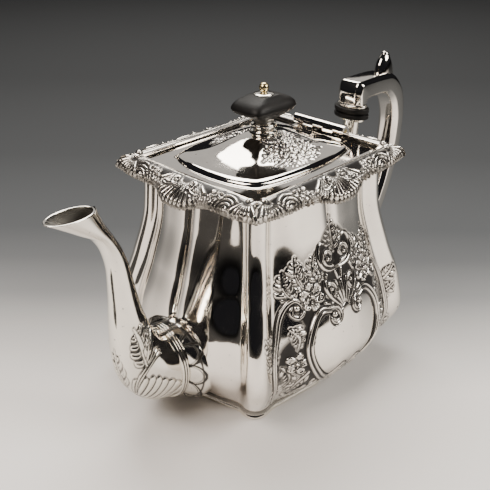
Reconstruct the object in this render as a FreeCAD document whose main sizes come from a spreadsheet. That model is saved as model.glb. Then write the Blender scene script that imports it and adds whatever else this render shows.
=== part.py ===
"""Silver teapot of rectangular lobed form: parametric FreeCAD document.

Millimetres. +X runs from the spout towards the handle, +Z is up, and the
origin is on the table, straight below the middle of the rim.
"""
import FreeCAD
import Part
import Sketcher
import math
import os
from FreeCAD import Placement, Rotation, Vector

doc = FreeCAD.newDocument("silver_teapot")

# ---------------------------------------------------------------- dimensions
DIMENSIONS = [
    # body
    ("wall", 1.2, "sheet thickness of body, spout and handle"),
    ("foot_height", 5.0, "reeded foot moulding"),
    ("foot_width", 3.4, "foot moulding, inwards from the body's outline"),
    ("base_thickness", 1.2, "flat base sheet"),
    ("body_top", 121.4, "upper edge of the body shell"),
    ("corner_inset", 7.9, "half length minus half width at any height"),
    ("corner_radius", 6.0, "rounded upright corners"),
    ("strainer_hole", 2.2, "diameter of the holes behind the spout"),
    ("strainer_pitch", 4.8, "spacing of those holes"),
    ("strainer_height", 31.0, "middle of the strainer"),
    # rim
    ("plate_thickness", 1.4, "ledge round the mouth"),
    ("plate_margin", 1.4, "ledge under the gallery's inner edge"),
    ("mouth_length", 84.0, "opening in the ledge"),
    ("mouth_width", 68.0, "opening in the ledge"),
    ("rim_length", 96.4, "inner rectangle of the gallery"),
    ("rim_width", 80.6, "inner rectangle of the gallery"),
    ("rim_top", 124.4, "top of the gallery's flat inner band"),
    ("band_width", 4.0, "that flat band"),
    ("gallery_thickness", 2.6, "cast gallery"),
    ("wire_height", 1.0, "fine border wire on the band"),
    ("wire_width", 1.5, "fine border wire"),
    # lid
    ("lid_length", 94.4, "flat margin of the lid"),
    ("lid_width", 78.8, "flat margin of the lid"),
    ("lid_sheet", 1.0, "lid thickness"),
    ("bezel_length", 82.0, "flange under the lid"),
    ("bezel_width", 66.0, "flange under the lid"),
    ("bezel_depth", 3.5, "flange under the lid"),
    ("dome_top", 136.0, "seat on the dome for the finial"),
    # hinge
    ("hinge_height", 128.4, "barrel axis above the table"),
    ("hinge_offset", 47.4, "barrel axis behind the middle"),
    ("barrel_radius", 2.8, "hinge barrel"),
    ("pin_radius", 1.2, "hinge pin"),
    ("pin_clearance", 0.06, "radial, in the lid's knuckles"),
    ("knuckle_length", 6.8, "each knuckle"),
    ("knuckle_gap", 0.3, "between neighbouring knuckles"),
    ("leaf_width", 3.6, "lid's hinge leaf"),
    ("leaf_thickness", 1.0, "lid's hinge leaf"),
    ("stand_height", 1.4, "pot's hinge leaf above the gallery's band"),
    ("tab_thickness", 2.0, "tabs under the pot's knuckles"),
    ("cut_length", 60.0, "drills that pass right through"),
    # finial
    ("collar_radius", 7.0, "lowest ring of the finial's collar"),
    ("collar_waist", 5.0, "narrow part of the collar"),
    ("collar_top", 144.0, "top of the collar"),
    ("knob_top", 155.6, "top of the ebony knob"),
    ("knob_length", 32.0, "ebony knob along the pot"),
    ("knob_width", 22.4, "ebony knob across the pot"),
    ("screw_radius", 1.5, "finial screw"),
    ("screw_clearance", 0.1, "radial, in the parts that the screw clamps"),
    ("screw_end", 131.2, "lower end of the finial screw"),
    ("ball_radius", 2.5, "finial screw's head"),
    ("washer_radius", 5.3, "washer on the knob"),
    ("washer_thickness", 1.0, "washer on the knob"),
    ("nut_width", 6.0, "square nut inside the lid"),
    ("nut_thickness", 2.4, "square nut inside the lid"),
    # spout
    ("cuff_front", 77.0, "front of the reeded cuff, ahead of the middle"),
    ("cuff_length", 4.0, "reeded cuff along the spout"),
    # handle
    ("insulator_length", 22.4, "black ring, across the pot"),
    ("insulator_depth", 14.5, "black ring, along the pot"),
    ("ring_thickness", 2.4, "each black ring"),
    ("groove_thickness", 1.2, "groove between the two rings"),
    ("upper_insulator_offset", 76.2, "middle of the upper insulator"),
    ("upper_insulator_height", 126.4, "underside of the upper insulator"),
    ("lower_insulator_offset", 81.6, "pot side of the lower insulator"),
    ("lower_insulator_height", 45.0, "middle of the lower insulator"),
    ("collar_thickness", 2.0, "silver collar at each insulator"),
    ("dowel_length", 7.0, "oval dowel of each insulator, across the pot"),
    ("dowel_depth", 4.0, "oval dowel, the other way"),
    ("dowel_reach", 6.0, "dowel beyond the rings at each end"),
    ("rivet_radius", 0.8, "pins through the dowels"),
]
sheet = doc.addObject("Spreadsheet::Sheet", "Sizes")
for row, (alias, value, meaning) in enumerate(DIMENSIONS, start=1):
    sheet.set("A%d" % row, meaning)
    sheet.set("B%d" % row, "%g" % value)
    sheet.setAlias("B%d" % row, alias)
doc.recompute()


def size(alias):
    """Value of one driving dimension, in millimetres."""
    return float(getattr(sheet, alias))


def evaluate(expression):
    """Number that an expression over the sheet has now."""
    return float(sheet.evalExpression(expression))


# ------------------------------------------------------------------- helpers
def shape_object(label, shape):
    """A document object that holds a shape made by Part's own functions."""
    thing = doc.addObject("Part::Feature", label)
    thing.Shape = shape
    thing.Placement = Placement()
    thing.Label = label
    return thing


def primitive(kind, label, bindings, position, rotation=None):
    """A Part primitive whose sizes and place follow the sheet."""
    thing = doc.addObject(kind, label)
    thing.Label = label
    for name, expression in bindings.items():
        thing.setExpression(name, expression)
    if rotation is not None:
        thing.Placement = Placement(Vector(), rotation)
    for letter, expression in zip("xyz", position):
        thing.setExpression("Placement.Base." + letter, expression)
    return thing


def cut(label, base, tool):
    thing = doc.addObject("Part::Cut", label)
    thing.Base = base
    thing.Tool = tool
    thing.Label = label
    return thing


def fuse(label, things):
    thing = doc.addObject("Part::MultiFuse", label)
    thing.Shapes = things
    thing.Label = label
    return thing


def new_body(label):
    body = doc.addObject("PartDesign::Body", label)
    body.Label = label
    return body


def new_sketch(body, name, role):
    """Empty sketch on one of the body's own origin planes."""
    sketch = body.newObject("Sketcher::SketchObject", name)
    plane = [item for item in body.Origin.OriginFeatures if item.Role == role][0]
    sketch.AttachmentSupport = [(plane, "")]
    sketch.MapMode = "FlatFace"
    return sketch


def bind(sketch, constraint, expression):
    """Add a dimension and tie it to the sheet."""
    number = sketch.addConstraint(constraint)
    sketch.setExpression("Constraints[%d]" % number, expression)


def add_outline(sketch, corners):
    """Closed straight-sided outline through corners given as expressions."""
    points = [Vector(evaluate(right), evaluate(up), 0) for right, up in corners]
    first = sketch.GeometryCount
    count = len(points)
    for index in range(count):
        line = Part.LineSegment(points[index], points[(index + 1) % count])
        sketch.addGeometry(line, False)
    for index in range(count):
        following = first + (index + 1) % count
        sketch.addConstraint(Sketcher.Constraint("Coincident", first + index, 2, following, 1))
    for index, (right, up) in enumerate(corners):
        across = Sketcher.Constraint("DistanceX", -1, 1, first + index, 1, points[index].x)
        upwards = Sketcher.Constraint("DistanceY", -1, 1, first + index, 1, points[index].y)
        bind(sketch, across, right)
        bind(sketch, upwards, up)


def add_circle(sketch, right, up, radius):
    """Circle whose centre and radius are expressions."""
    centre = Vector(evaluate(right), evaluate(up), 0)
    circle = sketch.addGeometry(Part.Circle(centre, Vector(0, 0, 1), evaluate(radius)), False)
    bind(sketch, Sketcher.Constraint("Radius", circle, evaluate(radius)), radius)
    for kind, value, expression in (("DistanceX", centre.x, right), ("DistanceY", centre.y, up)):
        if abs(value) > 1e-9:
            bind(sketch, Sketcher.Constraint(kind, -1, 1, circle, 3, value), expression)
        else:
            axis = -2 if kind == "DistanceX" else -1
            sketch.addConstraint(Sketcher.Constraint("PointOnObject", circle, 3, axis))


def turned(label, profile):
    """Body turned about the pot's vertical centre line."""
    body = new_body(label)
    sketch = new_sketch(body, label + "_profile", "XZ_Plane")
    add_outline(sketch, profile)
    turn = body.newObject("PartDesign::Revolution", label + "_turned")
    turn.Profile = sketch
    turn.ReferenceAxis = (sketch, ["V_Axis"])
    turn.Angle = 360
    sketch.Visibility = False
    return body


def pad(body, sketch, name, length):
    feature = body.newObject("PartDesign::Pad", name)
    feature.Profile = sketch
    feature.setExpression("Length", length)
    return feature


def rectangle(half_length, half_width):
    """Corners of a centred rectangle, as expressions."""
    return [("-(%s)" % half_length, "-(%s)" % half_width),
            (half_length, "-(%s)" % half_width),
            (half_length, half_width),
            ("-(%s)" % half_length, half_width)]


def flat_row(station):
    """One station's numbers in a single list."""
    row = []
    for entry in station:
        row += list(entry) if isinstance(entry, tuple) else [entry]
    return row


def gentle_slopes(values):
    """Slopes at evenly spaced values, none steep enough to overshoot them."""
    steps = [after - before for before, after in zip(values, values[1:])]
    slopes = [steps[0]]
    for before, after in zip(steps, steps[1:]):
        turning = before * after <= 0
        slopes.append(0.0 if turning else 2 * before * after / (before + after))
    slopes.append(steps[-1])
    return slopes


def fill_in(stations, steps=3):
    """Rows of numbers with more rows between them, on smooth curves."""
    columns = list(zip(*[flat_row(station) for station in stations]))
    slopes = [gentle_slopes(column) for column in columns]
    rows = []
    for index in range(len(stations) - 1):
        for step in range(steps):
            u = step / steps
            rows.append([
                (2 * u ** 3 - 3 * u ** 2 + 1) * column[index]
                + (u ** 3 - 2 * u ** 2 + u) * slope[index]
                + (3 * u ** 2 - 2 * u ** 3) * column[index + 1]
                + (u ** 3 - u ** 2) * slope[index + 1]
                for column, slope in zip(columns, slopes)])
    rows.append([column[-1] for column in columns])
    return rows


def chord_knots(points):
    """Spline knots spaced as the points are."""
    knots = [0.0]
    for before, after in zip(points, points[1:]):
        knots.append(knots[-1] + math.dist(before, after))
    return knots


def smooth_wire(curves, knots, tangents=None):
    """Closed wire of spline edges through lists of points.

    Every other edge runs the other way along the same pattern of knots.
    Tangents, where given, are each edge's directions at its two ends.
    """
    backwards = [knots[-1] - knot for knot in knots[::-1]]
    edges = []
    for index, points in enumerate(curves):
        spline = Part.BSplineCurve()
        pattern = backwards if index % 2 else knots
        if tangents is None:
            spline.interpolate(Points=points, Parameters=pattern)
        else:
            start, end = tangents[index]
            spline.interpolate(Points=points, Parameters=pattern,
                               InitialTangent=start, FinalTangent=end)
        edges.append(spline.toShape())
    return Part.Wire(edges)


def quartered_curves(height, quarter):
    """A quarter outline and its three mirror images, in one direction round."""
    return [[Vector(x, y, height) for x, y in quarter],
            [Vector(-x, y, height) for x, y in quarter[::-1]],
            [Vector(-x, -y, height) for x, y in quarter],
            [Vector(x, -y, height) for x, y in quarter[::-1]]]


def rounded_wire(height, quarter, knots, half_length, half_width):
    """Smooth section from a quarter outline that meets both axes squarely."""
    scaled = [(half_length * x, half_width * y) for x, y in quarter]
    ends = [(Vector(0, half_width, 0), Vector(-half_length, 0, 0)),
            (Vector(-half_length, 0, 0), Vector(0, -half_width, 0)),
            (Vector(0, -half_width, 0), Vector(half_length, 0, 0)),
            (Vector(half_length, 0, 0), Vector(0, half_width, 0))]
    return smooth_wire(quartered_curves(height, scaled), knots, ends)


def loft(wires):
    """Closed solid through a list of wires."""
    solid = Part.makeLoft(wires, True, False)
    if solid.Volume < 0:
        solid.reverse()
    return solid


# ------------------------------------------------------ lobed body outline
# Each station up the body: height, half length at the corner's tip, how far
# the end faces and the long faces stand out beyond the tip at their middle,
# how sharply those faces are peaked (1 straight to the middle, 3 full), and
# how deep the flutes run beside the corners; they fade out into the toes.
BODY_STATIONS = [
    (5.0, 49.9, 7.2, 5.0, 1.4, -1.3),
    (14.0, 56.2, 8.2, 9.0, 1.7, -0.5),
    (29.0, 62.2, 8.0, 10.2, 1.9, 1.0),
    (48.0, 60.0, 7.6, 9.6, 1.9, 1.8),
    (72.0, 53.9, 6.6, 7.8, 1.9, 1.8),
    (98.0, 48.9, 5.0, 5.6, 1.9, 1.8),
    (size("body_top"), 47.8, 3.0, 3.0, 2.0, 1.8),
]
SEAM_GROOVE = 1.6
FLUTE_PLACE = 0.77
FACE_PLACES = (0.0, 0.05, 0.16, 0.38, 0.6, FLUTE_PLACE)
GROOVE_SHARE = (1.0, 0.35, 0.0, 0.0, 0.0, 0.0)
CORNER_ANGLES = (12, 45, 78)


def face_profile(along, level, bow, peak, flute, groove):
    """One half face, from its middle seam to the flute beside the corner."""
    points = []
    for place, share in zip(FACE_PLACES, GROOVE_SHARE):
        fullness = 1.0 - (place / FLUTE_PLACE) ** peak
        dip = flute * (place / FLUTE_PLACE) ** 4
        points.append((place * along, level + bow * fullness - dip - groove * share))
    return points


def quarter_outline(half_length, bow_end, bow_side, peak, flute, groove=SEAM_GROOVE):
    """Quarter of a lobed section: end-face seam, round the corner, long-face seam."""
    half_width = half_length - size("corner_inset")
    radius = size("corner_radius")
    centre = (half_length - radius * math.sqrt(0.5), half_width - radius * math.sqrt(0.5))
    end_face = [(x, y) for y, x in
                face_profile(half_width, half_length, bow_end, peak, flute, groove)]
    side_face = face_profile(half_length, half_width, bow_side, peak, flute, groove)
    corner = [(centre[0] + radius * math.cos(math.radians(angle)),
               centre[1] + radius * math.sin(math.radians(angle))) for angle in CORNER_ANGLES]
    return end_face + corner + side_face[::-1]


BODY_KNOTS = chord_knots(quarter_outline(*BODY_STATIONS[2][1:]))


def lobed_wire(height, half_length, bow_end, bow_side, peak, flute, groove=SEAM_GROOVE):
    """Closed lobed section at one height: four splines that meet in the seams."""
    quarter = quarter_outline(half_length, bow_end, bow_side, peak, flute, groove)
    return smooth_wire(quartered_curves(height, quarter), BODY_KNOTS)


def body_block(inset):
    """Solid of the body's shape, its walls moved inwards by inset."""
    wires = [lobed_wire(height, tip - inset, *shape)
             for height, tip, *shape in fill_in(BODY_STATIONS)]
    return loft(wires)


def prism(wire, thickness):
    return Part.Face(wire).extrude(Vector(0, 0, thickness))


# ------------------------------------------------------------------- body
def make_body_shell():
    """Hollow lobed body with the strainer holes drilled behind the spout."""
    walls = shape_object("body_walls", OUTER_BODY.cut(body_block(size("wall"))))
    drills = []
    for column in (-1.5, -0.5, 0.5, 1.5):
        for line in (-2, -1, 0, 1, 2):
            position = ("-Sizes.cuff_front", "%g * Sizes.strainer_pitch" % column,
                        "Sizes.strainer_height + %d * Sizes.strainer_pitch" % line)
            drills.append(primitive("Part::Cylinder", "strainer_drill",
                                    {"Radius": "Sizes.strainer_hole / 2",
                                     "Height": "Sizes.cut_length / 2"},
                                    position, Rotation(Vector(0, 1, 0), 90)))
    return cut("body_shell", walls, fuse("strainer_drills", drills))


def make_foot_rim():
    """Low rolled rim with a shallow cove over it, under the body."""
    foot = BODY_STATIONS[0]
    profile = [(0.0, -0.1), (0.7, 0.25), (1.5, 0.25), (2.3, -0.1), (3.3, -0.3), (4.2, -0.25),
               (size("foot_height"), -0.1)]
    outside = loft([lobed_wire(height, foot[1] + proud, *foot[2:])
                    for height, proud in profile])
    inside = lobed_wire(0, foot[1] - size("foot_width"), *foot[2:])
    return shape_object("foot_rim", outside.cut(prism(inside, size("foot_height"))))


def make_base_plate():
    """Flat sheet that closes the body, let in flush with the foot."""
    foot = BODY_STATIONS[0]
    outline = lobed_wire(0, foot[1] - size("foot_width"), *foot[2:])
    return shape_object("base_plate", prism(outline, size("base_thickness")))


# --------------------------------------------------------------------- rim
def frame_body(label, height, outer, inner, thickness):
    """Rectangular frame of even thickness; outer and inner are half sizes."""
    body = new_body(label)
    sketch = new_sketch(body, label + "_outline", "XY_Plane")
    add_outline(sketch, rectangle(*outer))
    add_outline(sketch, rectangle(*inner))
    sketch.AttachmentOffset = Placement(Vector(0, 0, evaluate(height)), Rotation())
    sketch.setExpression("AttachmentOffset.Base.z", height)
    pad(body, sketch, label + "_pad", thickness)
    return body


def make_mouth_plate():
    """Ledge on the body's upper edge, with the filling mouth through it."""
    return frame_body("mouth_plate", "Sizes.body_top",
                      ("Sizes.rim_length / 2 + Sizes.plate_margin",
                       "Sizes.rim_width / 2 + Sizes.plate_margin"),
                      ("Sizes.mouth_length / 2", "Sizes.mouth_width / 2"),
                      "Sizes.plate_thickness")


def make_rim_wire():
    """Fine raised wire round the inner edge of the gallery."""
    return frame_body("rim_wire", "Sizes.rim_top",
                      ("Sizes.rim_length / 2 + Sizes.wire_width",
                       "Sizes.rim_width / 2 + Sizes.wire_width"),
                      ("Sizes.rim_length / 2", "Sizes.rim_width / 2"),
                      "Sizes.wire_height")


# The gallery's outer edge along half a side, from the middle to the corner:
# place along the side, reach beyond the inner rectangle, and drop below it.
END_EDGE = [(0.0, 17.3, 7.5), (0.14, 16.9, 7.3), (0.27, 14.8, 6.0), (0.45, 12.4, 4.6),
            (0.62, 11.4, 4.2), (0.8, 11.8, 3.8), (1.0, 10.5, 2.6)]
SIDE_EDGE = [(0.0, 16.8, 7.5), (0.12, 16.4, 7.3), (0.24, 14.2, 6.0), (0.4, 12.0, 4.6),
             (0.58, 11.0, 4.2), (0.8, 11.0, 3.8), (1.0, 9.6, 2.6)]


def gallery_section(inner, band, outer, drop):
    """Cross-section of the gallery in the plane through three plan points."""
    top = size("rim_top")
    ledge = size("body_top") + size("plate_thickness")
    lip = [inner[i] + (band[i] - inner[i]) * size("plate_margin") / size("band_width")
           for i in (0, 1)]
    thick = size("gallery_thickness")
    points = [Vector(inner[0], inner[1], top),
              Vector(inner[0], inner[1], ledge),
              Vector(lip[0], lip[1], ledge),
              Vector(lip[0], lip[1], size("body_top")),
              Vector(band[0], band[1], size("body_top")),
              Vector(outer[0], outer[1], top - drop - thick),
              Vector(outer[0], outer[1], top - drop),
              Vector(band[0], band[1], top)]
    return Part.makePolygon(points + points[:1])


def gallery_strip(label, half_side, middle_reach, edge, other_corner, along_x, sign):
    """One cast strip, mitred at both ends."""
    half = fill_in(edge, 2)
    stations = [(-place, reach, drop) for place, reach, drop in half[:0:-1]] + half
    wires = []
    for place, reach, drop in stations:
        inner = (place * half_side, middle_reach)
        outer = (place * (half_side + other_corner * abs(place) ** 3), middle_reach + reach)
        share = size("band_width") / reach
        band = tuple(near + (far - near) * share for near, far in zip(inner, outer))
        plan = [(along, sign * across) for along, across in (inner, band, outer)]
        if not along_x:
            plan = [(across, along) for along, across in plan]
        wires.append(gallery_section(*plan, drop))
    return shape_object(label, loft(wires))


def make_gallery():
    """Four cast strips round the rim."""
    half_length = size("rim_length") / 2
    half_width = size("rim_width") / 2
    end_corner = END_EDGE[-1][1]
    side_corner = SIDE_EDGE[-1][1]
    strips = []
    for label, sign in (("gallery_spout_end", -1), ("gallery_handle_end", 1)):
        strips.append(gallery_strip(label, half_width, half_length, END_EDGE, side_corner,
                                    False, sign))
    for label, sign in (("gallery_front_side", -1), ("gallery_back_side", 1)):
        strips.append(gallery_strip(label, half_length, half_width, SIDE_EDGE, end_corner,
                                    True, sign))
    return strips


# --------------------------------------------------------------------- lid
# Dome of the lid: height above the margin, half length, half width, and how
# square the section is (1 oval, 0 rectangle with bowed sides).
LID_STATIONS = [
    (0.0, 42.6, 34.0, 0.10),
    (1.2, 42.0, 33.5, 0.10),
    (2.4, 40.0, 31.6, 0.12),
    (2.9, 36.4, 28.4, 0.15),
    (4.2, 30.2, 22.8, 0.25),
    (6.6, 24.2, 17.6, 0.35),
    (9.6, 17.6, 12.6, 0.50),
    (11.6, 11.8, 9.4, 0.80),
    (12.2, 7.6, 7.2, 1.00),
]
DOME_HALF_QUARTER = [(1.0, 0.0), (0.985, 0.34), (0.93, 0.66), (0.875, 0.80)]
DOME_QUARTER = DOME_HALF_QUARTER + [(0.845, 0.845)] + [(y, x) for x, y in DOME_HALF_QUARTER[::-1]]
DOME_KNOTS = chord_knots(DOME_QUARTER)


def dome_wire(height, half_length, half_width, roundness):
    """Section of the dome: bowed sides and soft corners, rounder towards the top."""
    quarter = []
    for x, y in DOME_QUARTER:
        shrink = 1.0 + roundness * (1.0 / math.hypot(x, y) - 1.0)
        quarter.append((x * shrink, y * shrink))
    return rounded_wire(height, quarter, DOME_KNOTS, half_length, half_width)


def lid_dome(base_height, inset):
    """Solid dome; the inner one is a lid's thickness smaller all round."""
    wires = [dome_wire(base_height + height, half_length - inset, half_width - inset, roundness)
             for height, half_length, half_width, roundness in fill_in(LID_STATIONS, 2)]
    return loft(wires)


def make_lid_shell():
    """Flat margin, raised step and hollow four-sided dome, with the screw's hole."""
    seat = size("body_top") + size("plate_thickness")
    sheet_thickness = size("lid_sheet")
    margin = Part.makeBox(size("lid_length"), size("lid_width"), sheet_thickness,
                          Vector(-size("lid_length") / 2, -size("lid_width") / 2, seat))
    outside = margin.fuse(lid_dome(seat + sheet_thickness, 0.0))
    inside = lid_dome(seat, sheet_thickness)
    bore = size("screw_radius") + size("screw_clearance")
    screw_hole = Part.makeCylinder(bore, size("cut_length"), Vector(0, 0, seat))
    return shape_object("lid_shell", outside.cut(inside).cut(screw_hole).removeSplitter())


def make_lid_bezel():
    """Upright flange under the lid that drops into the mouth."""
    return frame_body("lid_bezel",
                      "Sizes.body_top + Sizes.plate_thickness - Sizes.bezel_depth",
                      ("Sizes.bezel_length / 2", "Sizes.bezel_width / 2"),
                      ("Sizes.bezel_length / 2 - Sizes.lid_sheet",
                       "Sizes.bezel_width / 2 - Sizes.lid_sheet"),
                      "Sizes.bezel_depth")


# ------------------------------------------------------------------- hinge
KNUCKLES = 5
KNUCKLE_STEP = "(Sizes.knuckle_length + Sizes.knuckle_gap)"


def knuckle_start(number):
    """Lower end of a knuckle along Y, as an expression."""
    return "%g * %s - Sizes.knuckle_length / 2" % (number - (KNUCKLES - 1) / 2, KNUCKLE_STEP)


def hinge_half(label, numbers, leaf_boxes, tab, bore):
    """Leaf, tabs and knuckles of one side of the hinge, bored for the pin."""
    pieces = list(leaf_boxes)
    for number in numbers:
        start = knuckle_start(number)
        pieces.append(primitive("Part::Cylinder", label + "_knuckle",
                                {"Radius": "Sizes.barrel_radius",
                                 "Height": "Sizes.knuckle_length"},
                                ("Sizes.hinge_offset",
                                 "%s + Sizes.knuckle_length" % start,
                                 "Sizes.hinge_height"),
                                Rotation(Vector(1, 0, 0), 90)))
        low, high = tab
        pieces.append(primitive("Part::Box", label + "_tab",
                                {"Length": "(%s) - (%s)" % (high[0], low[0]),
                                 "Width": "Sizes.knuckle_length",
                                 "Height": "(%s) - (%s)" % (high[1], low[1])},
                                (low[0], start, low[1])))
    solid = fuse(label + "_blank", pieces)
    hole = primitive("Part::Cylinder", label + "_bore",
                     {"Radius": bore, "Height": "Sizes.cut_length"},
                     ("Sizes.hinge_offset", "Sizes.cut_length / 2", "Sizes.hinge_height"),
                     Rotation(Vector(1, 0, 0), 90))
    return cut(label, solid, hole)


def hinge_length():
    return "%d * Sizes.knuckle_length + %d * Sizes.knuckle_gap" % (KNUCKLES, KNUCKLES - 1)


def make_lid_hinge():
    """Lid's leaf, lying on the margin, with the second and fourth knuckles."""
    margin_top = "Sizes.body_top + Sizes.plate_thickness + Sizes.lid_sheet"
    leaf = primitive("Part::Box", "lid_leaf",
                     {"Length": "Sizes.leaf_width", "Width": hinge_length(),
                      "Height": "Sizes.leaf_thickness"},
                     ("Sizes.lid_length / 2 - Sizes.leaf_width - 0.2",
                      "-(%s) / 2" % hinge_length(), margin_top))
    tab = (("Sizes.hinge_offset - Sizes.barrel_radius", margin_top),
           ("Sizes.hinge_offset - 0.2", "Sizes.hinge_height"))
    return hinge_half("lid_hinge_leaf", (1, 3), [leaf], tab,
                      "Sizes.pin_radius + Sizes.pin_clearance")


def make_body_hinge():
    """Pot's leaf, standing on the gallery's band, with the other knuckles."""
    foot_height = "Sizes.rim_top"
    leaf = primitive("Part::Box", "body_leaf",
                     {"Length": "Sizes.band_width - Sizes.wire_width", "Width": hinge_length(),
                      "Height": "Sizes.stand_height"},
                     ("Sizes.rim_length / 2 + Sizes.wire_width", "-(%s) / 2" % hinge_length(),
                      foot_height))
    middle = "Sizes.rim_length / 2 + Sizes.wire_width"
    tab = ((middle + " - Sizes.tab_thickness / 2", "Sizes.rim_top + Sizes.wire_height"),
           (middle + " + Sizes.tab_thickness / 2", "Sizes.hinge_height"))
    return hinge_half("body_hinge_leaf", (0, 2, 4), [leaf], tab, "Sizes.pin_radius")


def make_hinge_pin():
    return primitive("Part::Cylinder", "hinge_pin",
                     {"Radius": "Sizes.pin_radius", "Height": hinge_length()},
                     ("Sizes.hinge_offset", "(%s) / 2" % hinge_length(), "Sizes.hinge_height"),
                     Rotation(Vector(1, 0, 0), 90))


# ------------------------------------------------------------------ finial
SCREW_BORE = "Sizes.screw_radius + Sizes.screw_clearance"


def make_finial_collar():
    """Turned silver collar: two rings below a waist."""
    return turned("finial_collar", [
        (SCREW_BORE, "Sizes.dome_top"),
        ("Sizes.collar_radius", "Sizes.dome_top"),
        ("Sizes.collar_radius", "Sizes.dome_top + 1.2"),
        ("Sizes.collar_waist", "Sizes.dome_top + 1.9"),
        ("Sizes.collar_waist", "Sizes.dome_top + 2.7"),
        ("Sizes.collar_radius - 0.2", "Sizes.dome_top + 3.3"),
        ("Sizes.collar_radius - 0.2", "Sizes.dome_top + 4.8"),
        ("Sizes.collar_waist", "Sizes.dome_top + 5.6"),
        ("Sizes.collar_waist + 0.2", "Sizes.collar_top - 1"),
        ("Sizes.collar_waist + 0.8", "Sizes.collar_top - 0.4"),
        ("Sizes.collar_waist + 0.8", "Sizes.collar_top"),
        (SCREW_BORE, "Sizes.collar_top")])


def make_finial_washer():
    return turned("finial_washer", [
        (SCREW_BORE, "Sizes.knob_top"),
        ("Sizes.washer_radius", "Sizes.knob_top"),
        ("Sizes.washer_radius", "Sizes.knob_top + 0.4"),
        ("Sizes.washer_radius - 1.4", "Sizes.knob_top + Sizes.washer_thickness"),
        (SCREW_BORE, "Sizes.knob_top + Sizes.washer_thickness")])


def make_finial_screw():
    """Plain shank with a ball head that clamps the knob, washer and collar."""
    washer_top = "Sizes.knob_top + Sizes.washer_thickness"
    shank = primitive("Part::Cylinder", "screw_shank",
                      {"Radius": "Sizes.screw_radius",
                       "Height": "%s + Sizes.ball_radius - Sizes.screw_end" % washer_top},
                      ("0", "0", "Sizes.screw_end"))
    ball = primitive("Part::Sphere", "screw_ball", {"Radius": "Sizes.ball_radius"},
                     ("0", "0", washer_top + " + Sizes.ball_radius"))
    return fuse("finial_screw", [shank, ball])


def make_finial_nut():
    """Square nut under the dome."""
    nut_top = size("dome_top") - size("lid_sheet")
    body = new_body("finial_nut")
    sketch = new_sketch(body, "finial_nut_outline", "XY_Plane")
    add_outline(sketch, rectangle("Sizes.nut_width / 2", "Sizes.nut_width / 2"))
    add_circle(sketch, "0", "0", "Sizes.screw_radius")
    height = "Sizes.dome_top - Sizes.lid_sheet - Sizes.nut_thickness"
    sketch.AttachmentOffset = Placement(Vector(0, 0, nut_top - size("nut_thickness")), Rotation())
    sketch.setExpression("AttachmentOffset.Base.z", height)
    pad(body, sketch, "finial_nut_pad", "Sizes.nut_thickness")
    return body


# Ebony knob: share of its height, and share of its half length and half width.
KNOB_STATIONS = [
    (0.0, 0.42, 0.56),
    (0.14, 0.68, 0.74),
    (0.32, 0.93, 0.94),
    (0.48, 1.00, 1.00),
    (0.64, 0.95, 0.95),
    (0.80, 0.81, 0.82),
    (0.93, 0.58, 0.64),
    (1.0, 0.40, 0.54),
]
# Cushion outline of the knob: bowed sides between soft corners.
KNOB_QUARTER = [(1.0, 0.0), (0.985, 0.40), (0.93, 0.78), (0.86, 0.89), (0.76, 0.945),
                (0.42, 0.99), (0.0, 1.0)]
KNOB_KNOTS = chord_knots(KNOB_QUARTER)


def make_finial_knob():
    """Carved ebony knob, bored for its screw."""
    low = size("collar_top")
    rise = size("knob_top") - low
    solid = loft([rounded_wire(low + share * rise, KNOB_QUARTER, KNOB_KNOTS,
                               size("knob_length") / 2 * long_share,
                               size("knob_width") / 2 * wide_share)
                  for share, long_share, wide_share in fill_in(KNOB_STATIONS)])
    bore = size("screw_radius") + size("screw_clearance")
    hole = Part.makeCylinder(bore, size("cut_length"), Vector(0, 0, low - rise))
    return shape_object("finial_knob", solid.cut(hole))


# ------------------------------------------------------------------- spout
# Each section of the spout spans from a point on its inner line (towards the
# pot) to one on its outer line, both in the plane y = 0, with a half width.
SPOUT_STATIONS = [
    ((-77.0, 51.0), (-77.0, 10.6), 17.0),
    ((-80.6, 53.5), (-91.6, 16.8), 16.2),
    ((-83.4, 58.0), (-100.8, 31.4), 13.8),
    ((-85.6, 64.0), (-104.4, 49.0), 11.2),
    ((-88.2, 72.0), (-104.6, 64.0), 8.8),
    ((-90.3, 82.0), (-103.9, 79.0), 6.9),
    ((-92.2, 93.0), (-103.7, 93.0), 5.8),
    ((-94.8, 102.0), (-105.6, 104.6), 5.6),
    ((-99.2, 111.0), (-110.4, 113.4), 6.0),
    ((-104.0, 119.5), (-119.0, 119.6), 6.8),
    ((-107.6, 128.6), (-132.2, 128.4), 7.4),
]


def ring_wire(station, inset=0.0):
    """Oval section between two points of the plane y = 0."""
    inner_x, inner_z, outer_x, outer_z, half_width = station
    first = Vector(inner_x, 0, inner_z)
    last = Vector(outer_x, 0, outer_z)
    middle = (first + last) / 2
    across = (last - first) / 2
    reach = across.Length - inset
    across.normalize()
    steps = 6
    halves = []
    for side in (0, 180):
        points = []
        for step in range(steps + 1):
            angle = math.radians(side + 180 * step / steps)
            points.append(middle + across * (reach * math.cos(angle))
                          + Vector(0, (half_width - inset) * math.sin(angle), 0))
        halves.append(points)
    speed = Vector(0, (half_width - inset) * math.pi / steps, 0)
    knots = [float(step) for step in range(steps + 1)]
    return smooth_wire(halves, knots, [(speed, -speed), (-speed, speed)])


def tube(stations, inset):
    return loft([ring_wire(row, inset) for row in fill_in(stations)])


def make_spout():
    """Hollow swan-neck spout, open at the cuff and at its trough-shaped mouth."""
    return shape_object("spout", tube(SPOUT_STATIONS, 0.0).cut(tube(SPOUT_STATIONS, size("wall"))))


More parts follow.
